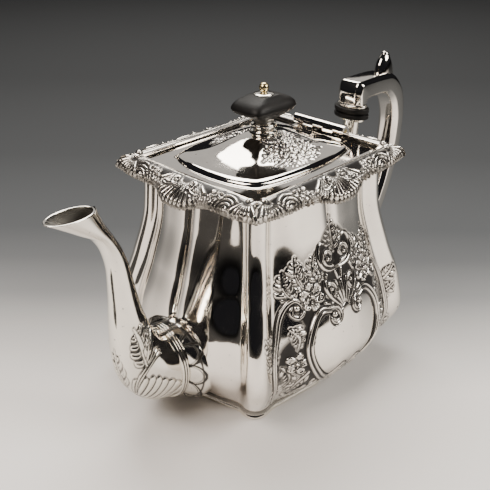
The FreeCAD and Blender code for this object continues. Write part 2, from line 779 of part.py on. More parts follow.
def make_spout_cuff():
    """Reeded ring between the spout and its domed flange."""
    (_, top), (_, bottom), half_width = SPOUT_STATIONS[0]
    length = size("cuff_length")
    front = -size("cuff_front")
    reeds = [(0.0, 0.6), (0.15, 1.2), (0.35, 0.8), (0.5, 1.4), (0.65, 0.8), (0.85, 1.4), (1.0, 0.8)]
    outside = loft([ring_wire((front + share * length, top, front + share * length, bottom,
                               half_width), -proud) for share, proud in reeds])
    hole = loft([ring_wire((front + share * length, top, front + share * length, bottom,
                            half_width), size("wall")) for share in (0.0, 1.0)])
    return shape_object("spout_cuff", outside.cut(hole))


# Domed flange from the cuff to the body's end face, as the spout's sections.
FLANGE_STATIONS = [
    ((-73.0, 51.2), (-73.0, 10.4), 17.4),
    ((-70.6, 51.0), (-71.0, 8.2), 22.0),
    ((-67.0, 51.0), (-68.0, 6.8), 25.6),
    ((-62.0, 50.0), (-62.0, 6.4), 27.0),
    ((-54.0, 49.0), (-54.0, 6.4), 27.0),
]


def make_spout_flange():
    """Domed shield that joins the spout to the pot's end face."""
    hollow = tube(FLANGE_STATIONS, 0.0).cut(tube(FLANGE_STATIONS, size("wall")))
    return shape_object("spout_flange", hollow.cut(OUTER_BODY))


# ------------------------------------------------------------------ handle
# Octagonal sections of the hollow handle, front leg over the arm and down
# the back: a point on the outer line, one on the inner line (both in y = 0),
# the width across the pot and the chamfer.
HANDLE_STATIONS = [
    ((71.2, 134.4), (81.2, 134.4), 17.0, 3.0),
    ((71.2, 140.8), (82.2, 136.2), 16.8, 2.8),
    ((74.4, 147.8), (84.6, 136.4), 16.4, 2.4),
    ((90.0, 148.2), (92.4, 136.4), 15.4, 2.2),
    ((104.5, 147.4), (101.6, 135.6), 14.8, 2.2),
    ((115.6, 141.4), (106.8, 132.4), 14.6, 2.4),
    ((122.0, 131.4), (110.8, 126.4), 14.4, 2.6),
    ((124.6, 116.0), (113.0, 115.2), 14.2, 2.8),
    ((123.2, 97.0), (111.8, 99.6), 14.0, 2.8),
    ((118.0, 77.0), (107.4, 82.6), 13.8, 2.8),
    ((109.4, 58.6), (100.6, 67.0), 14.0, 2.8),
    ((99.4, 44.6), (94.4, 55.6), 14.8, 2.8),
    ((89.6, 39.8), (89.6, 50.2), 16.0, 3.0),
]


def octagon_wire(station, inset=0.0):
    """Chamfered rectangle standing across the line from inner to outer."""
    outer_x, outer_z, inner_x, inner_z, width, chamfer = station
    first = Vector(inner_x, 0, inner_z)
    last = Vector(outer_x, 0, outer_z)
    middle = (first + last) / 2
    depth_way = last - first
    half_depth = depth_way.Length / 2 - inset
    depth_way.normalize()
    half_width = width / 2 - inset
    short = chamfer - inset * (2 - math.sqrt(2))
    corners = []
    for side, front in ((1, 1), (-1, 1), (-1, -1), (1, -1)):
        flat = (side * half_width, front * (half_depth - short))
        slant = (side * (half_width - short), front * half_depth)
        corners += [flat, slant] if side * front > 0 else [slant, flat]
    points = [middle + Vector(0, across, 0) + depth_way * deep for across, deep in corners]
    return Part.makePolygon(points + points[:1])


def run_on(near, end):
    """Row a tenth of a step past the end of a list of rows."""
    return [last + (last - before) / 10 for before, last in zip(near, end)]


def handle_solid(inset):
    """Handle's outside, or its hollow, which runs out through both ends."""
    rows = fill_in(HANDLE_STATIONS)
    if inset > 0:
        rows = [run_on(rows[1], rows[0])] + rows + [run_on(rows[-2], rows[-1])]
    return loft([octagon_wire(row, inset) for row in rows])


def make_handle_tube():
    """Hollow octagonal handle."""
    return handle_solid(0.0).cut(handle_solid(size("wall")))


# Thumb rest: leaning sections from its foot on the arm to its rounded tip.
REST_STATIONS = [
    ((98.6, 146.0), (115.0, 140.6), 4.8),
    ((99.6, 151.0), (113.6, 146.6), 4.4),
    ((101.6, 155.0), (111.8, 151.4), 3.8),
    ((104.2, 158.0), (109.6, 156.0), 2.4),
]


def make_thumb_rest():
    """Upswept thumb rest, seated on the bend of the handle."""
    wires = [ring_wire(row) for row in fill_in(REST_STATIONS)]
    tip = Part.makeSphere(2.5, Vector(106.8, 0, 156.8))
    solid = loft(wires).fuse(tip)
    return shape_object("thumb_rest", solid.cut(handle_solid(0.0)))


ACROSS_UPRIGHT = Rotation(Vector(0, 1, 0), Vector(-1, 0, 0), Vector(0, 0, 1), "ZXY")
ACROSS_LYING = Rotation(Vector(0, 1, 0), Vector(0, 0, 1), Vector(1, 0, 0), "ZXY")


def oval_plate(label, long_radius, short_radius, thickness, position, rotation):
    """Oval plate; its long axis lies across the pot."""
    outline = primitive("Part::Ellipse", label + "_outline",
                        {"MajorRadius": long_radius, "MinorRadius": short_radius},
                        position, rotation)
    plate = doc.addObject("Part::Extrusion", label)
    plate.Base = outline
    plate.DirMode = "Normal"
    plate.Solid = True
    plate.setExpression("LengthFwd", thickness)
    plate.Label = label
    return plate


JOINT_LENGTH = "(2 * Sizes.ring_thickness + Sizes.groove_thickness)"


def make_insulator(label, place, rotation):
    """Two black rings with a groove between, and a dowel out of each end.

    place(shift) gives the position that lies shift along the insulator.
    """
    long_radius = "Sizes.insulator_length / 2"
    short_radius = "Sizes.insulator_depth / 2"
    plates = [
        oval_plate(label + "_first_ring", long_radius, short_radius, "Sizes.ring_thickness",
                   place("0"), rotation),
        oval_plate(label + "_groove", long_radius + " - 1.6", short_radius + " - 1.6",
                   "Sizes.groove_thickness", place("Sizes.ring_thickness"), rotation),
        oval_plate(label + "_second_ring", long_radius, short_radius, "Sizes.ring_thickness",
                   place("Sizes.ring_thickness + Sizes.groove_thickness"), rotation),
        oval_plate(label + "_dowel", "Sizes.dowel_length / 2", "Sizes.dowel_depth / 2",
                   JOINT_LENGTH + " + 2 * Sizes.dowel_reach",
                   place("-Sizes.dowel_reach"), rotation)]
    return cut(label, fuse(label + "_blank", plates), INSULATOR_PINS)


def make_collar(label, shift, shrink, place, rotation):
    """Silver collar round the insulator's dowel."""
    plate = oval_plate(label + "_plate", "Sizes.insulator_length / 2 - %g" % shrink,
                       "Sizes.insulator_depth / 2 - %g" % (shrink * 0.9),
                       "Sizes.collar_thickness", place(shift), rotation)
    hole = oval_plate(label + "_hole", "Sizes.dowel_length / 2", "Sizes.dowel_depth / 2",
                      "Sizes.collar_thickness", place(shift), rotation)
    return cut(label, plate, hole)


def upper_place(shift):
    return ("Sizes.upper_insulator_offset", "0", "Sizes.upper_insulator_height + %s" % shift)


def lower_place(shift):
    return ("Sizes.lower_insulator_offset + %s" % shift, "0", "Sizes.lower_insulator_height")


def make_insulator_pins():
    """Four cross pins, one through each end of each dowel."""
    setback = "(Sizes.collar_thickness + 2.0)"
    upper_x, _, upper_z = upper_place("0")
    lower_x, _, lower_z = lower_place("0")
    places = [(upper_x, "%s + %s + %s" % (upper_z, JOINT_LENGTH, setback), 16.0),
              (upper_x, "%s - %s" % (upper_z, setback), 9.4),
              ("%s + %s + %s" % (lower_x, JOINT_LENGTH, setback), lower_z, 15.0),
              ("%s - %s" % (lower_x, setback), lower_z, 9.4)]
    pins = [primitive("Part::Cylinder", "cross_pin",
                      {"Radius": "Sizes.rivet_radius", "Height": "%g" % length},
                      (x, "%g" % (length / 2), z), Rotation(Vector(1, 0, 0), 90))
            for x, z, length in places]
    return fuse("insulator_pins", pins)


# Hollow sockets from the insulators to the pot's end face, as the spout's
# sections: a point on the pot's side, one on the far side, half width.
UPPER_SOCKET = [
    ((72.5, 124.4), (79.9, 124.4), 5.2),
    ((72.2, 116.0), (79.5, 114.5), 4.8),
    ((69.5, 109.5), (76.2, 105.0), 5.0),
    ((64.0, 105.8), (67.5, 98.6), 5.6),
    ((56.0, 104.8), (56.6, 95.2), 6.4),
    ((44.0, 105.0), (44.0, 94.0), 7.4),
]
LOWER_SOCKET = [
    ((79.6, 49.2), (79.6, 40.8), 5.4),
    ((74.0, 49.4), (74.0, 40.0), 5.8),
    ((66.0, 50.6), (66.0, 37.4), 7.4),
    ((54.0, 52.4), (54.0, 35.0), 9.4),
]


def make_socket(label, stations):
    """Tapered socket, fitted to the pot and drilled for its pin."""
    hollow = tube(stations, 0.0).cut(tube(stations, size("wall"))).cut(OUTER_BODY)
    return cut(label, shape_object(label + "_tube", hollow), INSULATOR_PINS)


# ---------------------------------------------------------------- assembly
OUTER_BODY = body_block(0.0)
INSULATOR_PINS = make_insulator_pins()
handle_side = JOINT_LENGTH
socket_side = "-Sizes.collar_thickness"

subparts = [
    make_body_shell(), make_foot_rim(), make_base_plate(),
    make_mouth_plate(), make_rim_wire(), *make_gallery(),
    make_lid_shell(), make_lid_bezel(),
    make_lid_hinge(), make_body_hinge(), make_hinge_pin(),
    make_finial_collar(), make_finial_knob(), make_finial_washer(),
    make_finial_screw(), make_finial_nut(),
    make_spout(), make_spout_cuff(), make_spout_flange(),
    make_socket("upper_socket", UPPER_SOCKET), make_socket("lower_socket", LOWER_SOCKET),
    make_insulator("upper_insulator", upper_place, ACROSS_UPRIGHT),
    make_insulator("lower_insulator", lower_place, ACROSS_LYING),
    make_collar("upper_handle_collar", handle_side, 1.6, upper_place, ACROSS_UPRIGHT),
    make_collar("upper_socket_collar", socket_side, 2.6, upper_place, ACROSS_UPRIGHT),
    make_collar("lower_handle_collar", handle_side, 1.6, lower_place, ACROSS_LYING),
    make_collar("lower_socket_collar", socket_side, 2.6, lower_place, ACROSS_LYING),
    cut("handle", shape_object("handle_tube", make_handle_tube()), INSULATOR_PINS),
    make_thumb_rest(), INSULATOR_PINS,
]

doc.recompute()
for thing in doc.Objects:
    if "Invalid" in thing.State or "Error" in thing.State:
        raise RuntimeError("%s did not build" % thing.Label)

os.makedirs("parts", exist_ok=True)
for subpart in subparts:
    shape = subpart.Shape
    if shape.isNull() or not shape.isValid() or not shape.Solids:
        raise RuntimeError("%s has no valid solid" % subpart.Label)
    shape.exportStep("parts/%s.step" % subpart.Label)
    print("%-22s %8.3f cm3  %d solid(s)" % (subpart.Label, shape.Volume / 1000, len(shape.Solids)))
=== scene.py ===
"""Looks of the silver teapot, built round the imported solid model.

The visual surfaces are worked out in millimetres and scaled to metres when
their meshes are made. +X runs from the spout to the handle, +Z is up.
"""
import math
import bmesh
import bpy
import numpy as np
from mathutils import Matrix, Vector


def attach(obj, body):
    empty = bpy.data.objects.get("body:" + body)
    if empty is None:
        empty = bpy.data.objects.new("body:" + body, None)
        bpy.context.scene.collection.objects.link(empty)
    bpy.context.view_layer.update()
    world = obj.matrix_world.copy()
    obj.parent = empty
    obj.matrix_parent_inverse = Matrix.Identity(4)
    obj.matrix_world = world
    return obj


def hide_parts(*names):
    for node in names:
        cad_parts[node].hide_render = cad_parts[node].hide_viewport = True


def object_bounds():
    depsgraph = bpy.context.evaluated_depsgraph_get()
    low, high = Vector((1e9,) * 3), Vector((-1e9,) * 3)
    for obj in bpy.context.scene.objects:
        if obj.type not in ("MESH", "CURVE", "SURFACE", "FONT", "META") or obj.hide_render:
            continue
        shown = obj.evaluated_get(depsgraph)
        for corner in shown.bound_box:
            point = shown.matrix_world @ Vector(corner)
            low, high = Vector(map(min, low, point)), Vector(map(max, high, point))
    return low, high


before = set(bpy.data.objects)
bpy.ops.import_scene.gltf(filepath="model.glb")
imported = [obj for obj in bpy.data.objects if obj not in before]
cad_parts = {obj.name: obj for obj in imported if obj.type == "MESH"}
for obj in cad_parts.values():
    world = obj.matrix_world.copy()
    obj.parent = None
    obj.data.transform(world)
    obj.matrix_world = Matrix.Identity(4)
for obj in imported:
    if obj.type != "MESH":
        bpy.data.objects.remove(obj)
cad_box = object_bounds()
MM = 0.001

# ------------------------------------------------------------ shape tables
# Millimetres, as in the solid model: the visual surfaces repeat its stations.
BODY = [(5.0, 49.9, 7.2, 5.0, 1.4, -1.3), (14.0, 56.2, 8.2, 9.0, 1.7, -0.5),
        (29.0, 62.2, 8.0, 10.2, 1.9, 1.0), (48.0, 60.0, 7.6, 9.6, 1.9, 1.8),
        (72.0, 53.9, 6.6, 7.8, 1.9, 1.8), (98.0, 48.9, 5.0, 5.6, 1.9, 1.8),
        (121.4, 47.8, 3.0, 3.0, 2.0, 1.8)]
CORNER_INSET, CORNER_RADIUS, SEAM_GROOVE, FLUTE_PLACE = 7.9, 6.0, 1.6, 0.77
FACE_PLACES = (0.0, 0.05, 0.16, 0.38, 0.6, FLUTE_PLACE)
GROOVE_SHARE = (1.0, 0.35, 0.0, 0.0, 0.0, 0.0)
END_EDGE = [(0.0, 17.3, 7.5), (0.14, 16.9, 7.3), (0.27, 14.8, 6.0), (0.45, 12.4, 4.6),
            (0.62, 11.4, 4.2), (0.8, 11.8, 3.8), (1.0, 10.5, 2.6)]
SIDE_EDGE = [(0.0, 16.8, 7.5), (0.12, 16.4, 7.3), (0.24, 14.2, 6.0), (0.4, 12.0, 4.6),
             (0.58, 11.0, 4.2), (0.8, 11.0, 3.8), (1.0, 9.6, 2.6)]
RIM_HALF = (48.2, 40.3)
RIM_TOP = 124.4
LID_SEAT = 123.8
LID = [(0.0, 42.6, 34.0, 0.10), (1.2, 42.0, 33.5, 0.10), (2.4, 40.0, 31.6, 0.12),
       (2.9, 36.4, 28.4, 0.15), (4.2, 30.2, 22.8, 0.25), (6.6, 24.2, 17.6, 0.35),
       (9.6, 17.6, 12.6, 0.50), (11.6, 11.8, 9.4, 0.80), (12.2, 7.6, 7.2, 1.00)]
DOME_HALF = [(1.0, 0.0), (0.985, 0.34), (0.93, 0.66), (0.875, 0.80)]
DOME_QUARTER = DOME_HALF + [(0.845, 0.845)] + [(y, x) for x, y in DOME_HALF[::-1]]
SPOUT = [(-77.0, 51.0, -77.0, 10.6, 17.0), (-80.6, 53.5, -91.6, 16.8, 16.2),
         (-83.4, 58.0, -100.8, 31.4, 13.8), (-85.6, 64.0, -104.4, 49.0, 11.2),
         (-88.2, 72.0, -104.6, 64.0, 8.8), (-90.3, 82.0, -103.9, 79.0, 6.9),
         (-92.2, 93.0, -103.7, 93.0, 5.8), (-94.8, 102.0, -105.6, 104.6, 5.6),
         (-99.2, 111.0, -110.4, 113.4, 6.0), (-104.0, 119.5, -119.0, 119.6, 6.8),
         (-107.6, 128.6, -132.2, 128.4, 7.4)]
FLANGE = [(-73.0, 51.2, -73.0, 10.4, 17.4), (-70.6, 51.0, -71.0, 8.2, 22.0),
          (-67.0, 51.0, -68.0, 6.8, 25.6), (-62.0, 50.0, -62.0, 6.4, 27.0),
          (-54.0, 49.0, -54.0, 6.4, 27.0)]


# --------------------------------------------------------- smooth in-betweens
def gentle_slopes(values):
    """Slopes at evenly spaced values, none steep enough to overshoot them."""
    steps = np.diff(values)
    slopes = [steps[0]]
    for before, after in zip(steps, steps[1:]):
        slopes.append(0.0 if before * after <= 0 else 2 * before * after / (before + after))
    return slopes + [steps[-1]]


def blend_rows(stations, places):
    """Rows of a table at fractional places (0 is its first row), on smooth curves."""
    table = np.array(stations, float)
    slopes = np.array([gentle_slopes(column) for column in table.T]).T
    places = np.clip(np.asarray(places, float), 0, len(table) - 1)
    index = np.minimum(places.astype(int), len(table) - 2)
    u = (places - index)[:, None]
    return ((2 * u ** 3 - 3 * u ** 2 + 1) * table[index]
            + (u ** 3 - 2 * u ** 2 + u) * slopes[index]
            + (3 * u ** 2 - 2 * u ** 3) * table[index + 1]
            + (u ** 3 - u ** 2) * slopes[index + 1])


def spline(knots, points, at):
    """Natural cubic spline through points of any shape, read at the given knots."""
    h = np.diff(knots)
    count = len(knots)
    flat = points.reshape(count, -1)
    matrix = np.eye(count)
    right = np.zeros_like(flat)
    for i in range(1, count - 1):
        matrix[i, i - 1:i + 2] = h[i - 1], 2 * (h[i - 1] + h[i]), h[i]
        right[i] = 6 * ((flat[i + 1] - flat[i]) / h[i] - (flat[i] - flat[i - 1]) / h[i - 1])
    bend = np.linalg.solve(matrix, right)
    k = np.clip(np.searchsorted(knots, at, side="right") - 1, 0, count - 2)
    a = ((knots[k + 1] - at) / h[k])[:, None]
    b = 1 - a
    result = (a * flat[k] + b * flat[k + 1]
              + ((a ** 3 - a) * bend[k] + (b ** 3 - b) * bend[k + 1]) * (h[k] ** 2)[:, None] / 6)
    return result.reshape((len(at),) + points.shape[1:])


def chord_knots(points):
    return np.concatenate([[0.0], np.cumsum(np.linalg.norm(np.diff(points, axis=0), axis=1))])


def smooth_path(points, spacing=0.3):
    """Evenly stepped smooth curve through a few points."""
    points = np.asarray(points, float)
    knots = chord_knots(points)
    return spline(knots, points, np.linspace(0, knots[-1], max(int(knots[-1] / spacing), 3)))


# ------------------------------------------------------------- body outline
def body_quarter(tip, bow_end, bow_side, peak, flute):
    """Quarter outline of the lobed body: end seam, round the corner, side seam."""
    half_width = tip - CORNER_INSET
    inward = CORNER_RADIUS * math.sqrt(0.5)

    def face(along, level, bow):
        return [(place * along, level + bow * (1 - (place / FLUTE_PLACE) ** peak)
                 - flute * (place / FLUTE_PLACE) ** 4 - SEAM_GROOVE * share)
                for place, share in zip(FACE_PLACES, GROOVE_SHARE)]
    end = [(x, y) for y, x in face(half_width, tip, bow_end)]
    corner = [(tip - inward + CORNER_RADIUS * math.cos(math.radians(angle)),
               half_width - inward + CORNER_RADIUS * math.sin(math.radians(angle)))
              for angle in (12, 45, 78)]
    return np.array(end + corner + face(tip, half_width, bow_side)[::-1])


BODY_KNOTS = chord_knots(body_quarter(*BODY[2][1:]))
CORNER_KNOT = BODY_KNOTS[7]
SIDE_KNOT = BODY_KNOTS[-1]


def body_rows(heights, inset=0.0):
    """Quarter outlines' points at the given heights: (points, heights, 2)."""
    fine = np.linspace(0, len(BODY) - 1, 3000)
    places = np.interp(heights, blend_rows(BODY, fine)[:, 0], fine)
    rows = blend_rows(BODY, places)
    return np.stack([body_quarter(row[1] - inset, *row[2:]) for row in rows], axis=1)


def wall_grid(heights, along_x, sign, half_count, inset=0.0):
    """One wall from corner to corner, plus one column past each corner."""
    start, end = (SIDE_KNOT, CORNER_KNOT) if along_x else (0.0, CORNER_KNOT)
    step = (end - start) / half_count
    at = start + step * np.arange(half_count + 2)
    half = spline(BODY_KNOTS, body_rows(heights, inset), at).transpose(1, 0, 2)
    mirror = (-1, 1) if along_x else (1, -1)
    plan = np.concatenate([half[:, ::-1] * mirror, half[:, 1:]], axis=1)
    plan[..., 1 if along_x else 0] *= sign
    z = np.broadcast_to(np.asarray(heights)[:, None, None], plan.shape[:2] + (1,))
    return np.concatenate([plan, z], axis=2)


# ---------------------------------------------------------------- ring tubes
def ring_grid(rows, angles, inset=0.0):
    """Oval rings across the plane y = 0; angle 0 is on the outer line."""
    rows = np.asarray(rows)
    first = rows[:, (0, 1)]
    last = rows[:, (2, 3)]
    middle = (first + last) / 2
    reach = np.linalg.norm(last - first, axis=1)[:, None] / 2
    way = (last - first) / (2 * reach)
    inset = np.broadcast_to(np.asarray(inset, float), (len(rows),))[:, None]
    deep = (reach - inset) * np.cos(angles)
    across = (rows[:, 4:5] - inset) * np.sin(angles)
    return np.stack([middle[:, :1] + way[:, :1] * deep, across,
                     middle[:, 1:] + way[:, 1:] * deep], axis=2)


# --------------------------------------------------------------------- lid
def dome_loops(rows, per_quarter):
    """Loops of the lid's dome: (rows, 4 * per_quarter, 3)."""
    quarter = np.array(DOME_QUARTER)
    knots = chord_knots(quarter)
    at = np.linspace(0, knots[-1], per_quarter + 1)
    loops = []
    for height, half_length, half_width, roundness in rows:
        radius = np.linalg.norm(quarter, axis=1)[:, None]
        shaped = quarter * (1 + roundness * (1 / radius - 1))
        curve = spline(knots, shaped, at) * (half_length, half_width)
        curve[0, 1] = curve[-1, 0] = 0.0
        turn = np.concatenate([curve[:-1], curve[:0:-1] * (-1, 1), -curve[:-1],
                               curve[:0:-1] * (1, -1)])
        loops.append(np.concatenate([turn, np.full((len(turn), 1), LID_SEAT + height)], axis=1))
    return np.array(loops)


# ------------------------------------------------------------------ gallery
def gallery_grid(along_x, sign, columns, shares):
    """Plan and height of a gallery strip's upper face, mitre to mitre."""
    edge = SIDE_EDGE if along_x else END_EDGE
    half_side, middle = RIM_HALF if along_x else RIM_HALF[::-1]
    other = (END_EDGE if along_x else SIDE_EDGE)[-1][1]
    places = np.abs(columns)
    fine = np.linspace(0, len(edge) - 1, 2000)
    table = blend_rows(edge, np.interp(places, blend_rows(edge, fine)[:, 0], fine))
    reach, drop = table[:, 1], table[:, 2]
    inner = columns * half_side
    outer = columns * (half_side + other * places ** 3)
    along = inner + (outer - inner) * shares[:, None]
    across = middle + reach * shares[:, None]
    band = 4.0 / reach
    slope = np.clip((shares[:, None] - band) / (1 - band), 0, 1)
    height = RIM_TOP - drop * slope
    parts = (along, sign * across) if along_x else (sign * across, along)
    return np.stack([*parts, height], axis=2), reach



# ----------------------------------------------------------- chased ornament
class Relief:
    """Height and tarnish of an ornament over a flat patch, in millimetres.

    Ridges are laid with ridge(); each is outlined by a chased groove, and a
    later one lies over an earlier one.
    """

    def __init__(self, low, high, pitch=0.25):
        self.low = np.array(low, float)
        self.pitch = pitch
        size = np.ceil((np.array(high) - self.low) / pitch).astype(int) + 1
        self.u = self.low[0] + pitch * np.arange(size[0])
        self.v = self.low[1] + pitch * np.arange(size[1])
        self.height = np.zeros((size[1], size[0]))
        self.ground = np.zeros_like(self.height)

    def ridge(self, path, radius, height, form="round", groove=0.28, spacing=0.2):
        """Raised band along a smooth path; radius may run from value to value."""
        if len(path) > 2:
            path = smooth_path(path, spacing)
        else:
            steps = 8 + int(math.dist(*path) / spacing)
            path = np.array([np.linspace(a, b, steps) for a, b in zip(*path)]).T
        count = len(path)
        radii = np.interp(np.linspace(0, 1, count), np.linspace(0, 1, np.size(radius)),
                          np.atleast_1d(radius).astype(float))
        margin = radii.max() * 1.5 + 0.5
        i0, i1 = np.searchsorted(self.u, (path[:, 0].min() - margin, path[:, 0].max() + margin))
        j0, j1 = np.searchsorted(self.v, (path[:, 1].min() - margin, path[:, 1].max() + margin))
        if i1 <= i0 or j1 <= j0:
            return
        near = np.full((j1 - j0, i1 - i0), 9.0)
        size = np.zeros_like(near)
        uu, vv = np.meshgrid(self.u[i0:i1], self.v[j0:j1])
        for (x, y), r in zip(path, radii):
            a0, a1 = np.searchsorted(self.u[i0:i1], (x - r * 1.5 - 0.4, x + r * 1.5 + 0.4))
            b0, b1 = np.searchsorted(self.v[j0:j1], (y - r * 1.5 - 0.4, y + r * 1.5 + 0.4))
            far = np.hypot(uu[b0:b1, a0:a1] - x, vv[b0:b1, a0:a1] - y) / max(r, 0.12)
            closer = far < near[b0:b1, a0:a1]
            near[b0:b1, a0:a1][closer] = far[closer]
            size[b0:b1, a0:a1][closer] = r
        shape = {"round": lambda q: np.sqrt(np.clip(1 - q ** 2, 0, 1)),
                 "band": lambda q: np.clip(1 - q ** 6, 0, 1) * (1 - 0.75 * np.exp(-(q / 0.42) ** 2)),
                 "hollow": lambda q: np.clip(1 - q ** 8, 0, 1) * (0.25 + 0.75 * q ** 2),
                 "flat": lambda q: np.clip(1 - q ** 8, 0, 1)}[form](near)
        low = radii.max()
        scale = np.clip(size / max(low, 1e-6), 0.35, 1)
        target = self.height[j0:j1, i0:i1]
        inside = near < 1
        target[inside] = (height * shape * scale)[inside]
        ring = (near >= 1) & (near < 1 + 0.45 / np.maximum(size, 0.3))
        target[ring] = np.minimum(target[ring], -groove)

    def spiral(self, centre, start, turns, outer, inner, radius, height, lead=(), form="band"):
        """Volute that winds inwards, after the points that lead into it."""
        steps = np.linspace(0, 1, max(int(abs(turns) * 14), 6))
        angles = math.radians(start) + 2 * math.pi * turns * steps
        reach = outer + (inner - outer) * steps ** 0.8
        coil = np.stack([centre[0] + reach * np.cos(angles), centre[1] + reach * np.sin(angles)], 1)
        path = np.concatenate([np.reshape(lead, (-1, 2)), coil])
        self.ridge(path, radius, height, form)
        self.ridge([coil[-1] - 0.01, coil[-1] + 0.01], inner * 1.05, height * 1.1)

    def leaf(self, spine, width, height, lobes=5, tip=0.35):
        """Acanthus leaf: lobes fanned along both sides of a curved spine."""
        spine = smooth_path(spine, 0.25)
        way = np.gradient(spine, axis=0)
        way /= np.linalg.norm(way, axis=1)[:, None] + 1e-9
        across = np.stack([-way[:, 1], way[:, 0]], axis=1)
        for lobe in range(lobes):
            share = (lobe + 0.3) / (lobes + 0.4)
            index = int(share * (len(spine) - 1))
            reach = width * (0.8 + 0.55 * math.sin(math.pi * min(share * 1.1, 1))) * (1.12 - share)
            for side in (1, -1):
                start = spine[index]
                out = start + across[index] * side * reach + way[index] * reach * 0.8
                middle = (start + out) / 2 + across[index] * side * reach * 0.12
                hook = out + way[index] * reach * 0.45 - across[index] * side * reach * 0.05
                self.ridge([start, middle, out, hook],
                           [0.3, width * 0.30, width * 0.24, 0.08], height * 0.8)
                self.ridge([start, middle, out], [0.10, 0.16, 0.08], height * 0.30, groove=-0.02)
        self.ridge(spine, [width * 0.2, width * 0.2, width * 0.16, tip], height)
        self.ridge(spine[::3], [0.16, 0.16], height * 0.35, groove=-0.02)

    def flower(self, centre, reach, height, petals=5, start=90.0):
        """Open flower with veined petals round a beaded boss."""
        centre = np.array(centre, float)
        for petal in range(petals):
            angle = math.radians(start + 360.0 * petal / petals)
            way = np.array([math.cos(angle), math.sin(angle)])
            side = np.array([-way[1], way[0]])
            tip = centre + way * reach * 0.66
            self.ridge([centre + way * reach * 0.3, tip - way * 0.02, tip + way * 0.1],
                       [reach * 0.2, reach * 0.36, reach * 0.36], height, "hollow")
            for lean in (-0.3, 0.0, 0.3):
                self.ridge([centre + way * reach * 0.3, centre + way * reach * 0.8
                            + side * reach * lean * 0.7], 0.14, height * 0.35, groove=-0.02)
        self.ridge([centre - 0.01, centre + 0.01], reach * 0.24, height * 1.15, groove=0.35)
        for bead in range(7):
            angle = 2 * math.pi * bead / 7
            spot = centre + reach * 0.26 * np.array([math.cos(angle), math.sin(angle)])
            self.ridge([spot, spot + 0.01], reach * 0.06, height * 0.9, groove=0.1)

    def fan(self, root, start, end, count, reach, width, height, first=0.25):
        """Shell or palmette: ribs fanned about a root."""
        root = np.array(root, float)
        order = sorted(range(count), key=lambda rib: -abs(rib - (count - 1) / 2))
        for rib in order:
            angle = math.radians(start + (end - start) * rib / max(count - 1, 1))
            way = np.array([math.cos(angle), math.sin(angle)])
            self.ridge([root + way * reach * first, root + way * reach * 0.65, root + way * reach],
                       [width * 0.3, width * 0.75, width], height)

    def matting(self, centre, radii, strength=1.0):
        """Punched and darkened ground behind the ornament, over an oval."""
        uu, vv = np.meshgrid(self.u, self.v)
        far = np.hypot((uu - centre[0]) / radii[0], (vv - centre[1]) / radii[1])
        self.ground = np.maximum(self.ground, strength * np.clip((1.06 - far) / 0.12, 0, 1))

    def mirror(self):
        """Copy the half with negative u onto the other half."""
        self.height = np.where(self.u[None, :] > 0, self.height[:, ::-1], self.height)
        self.ground = np.where(self.u[None, :] > 0, self.ground[:, ::-1], self.ground)

    def finish(self, soften=1):
        """Soften the steps and work out where the tarnish sits."""
        for _ in range(soften):
            self.height = blur(self.height, 1)
        wide = blur(blur(self.height, 3), 3)
        hollow = np.clip((wide - self.height) * 3.2, 0, 1)
        bare = (np.abs(self.height) < 0.06) & (self.ground > 0)
        self.height -= 0.16 * blur(bare * self.ground, 1)
        self.dark = np.clip(blur(np.maximum(hollow, 0.85 * bare * self.ground), 1), 0, 1)

    def read(self, u, v):
        """Height and tarnish at points, smoothly between the samples."""
        fu = np.clip((u - self.low[0]) / self.pitch, 0, len(self.u) - 1.001)
        fv = np.clip((v - self.low[1]) / self.pitch, 0, len(self.v) - 1.001)
        iu, iv = fu.astype(int), fv.astype(int)
        au, av = fu - iu, fv - iv
        outside = (u < self.u[0]) | (u > self.u[-1]) | (v < self.v[0]) | (v > self.v[-1])
        values = []
        for field in (self.height, self.dark):
            value = ((field[iv, iu] * (1 - au) + field[iv, iu + 1] * au) * (1 - av)
                     + (field[iv + 1, iu] * (1 - au) + field[iv + 1, iu + 1] * au) * av)
            values.append(np.where(outside, 0.0, value))
        return values


def blur(field, reach):
    """Mean over a square of 2 * reach + 1 samples."""
    width = 2 * reach + 1
    for axis in (0, 1):
        padded = np.concatenate([np.repeat(field.take([0], axis), reach + 1, axis), field,
                                 np.repeat(field.take([-1], axis), reach, axis)], axis)
        total = np.cumsum(padded, axis)
        count = field.shape[axis]
        field = (total.take(range(width, width + count), axis)
                 - total.take(range(count), axis)) / width
    return field


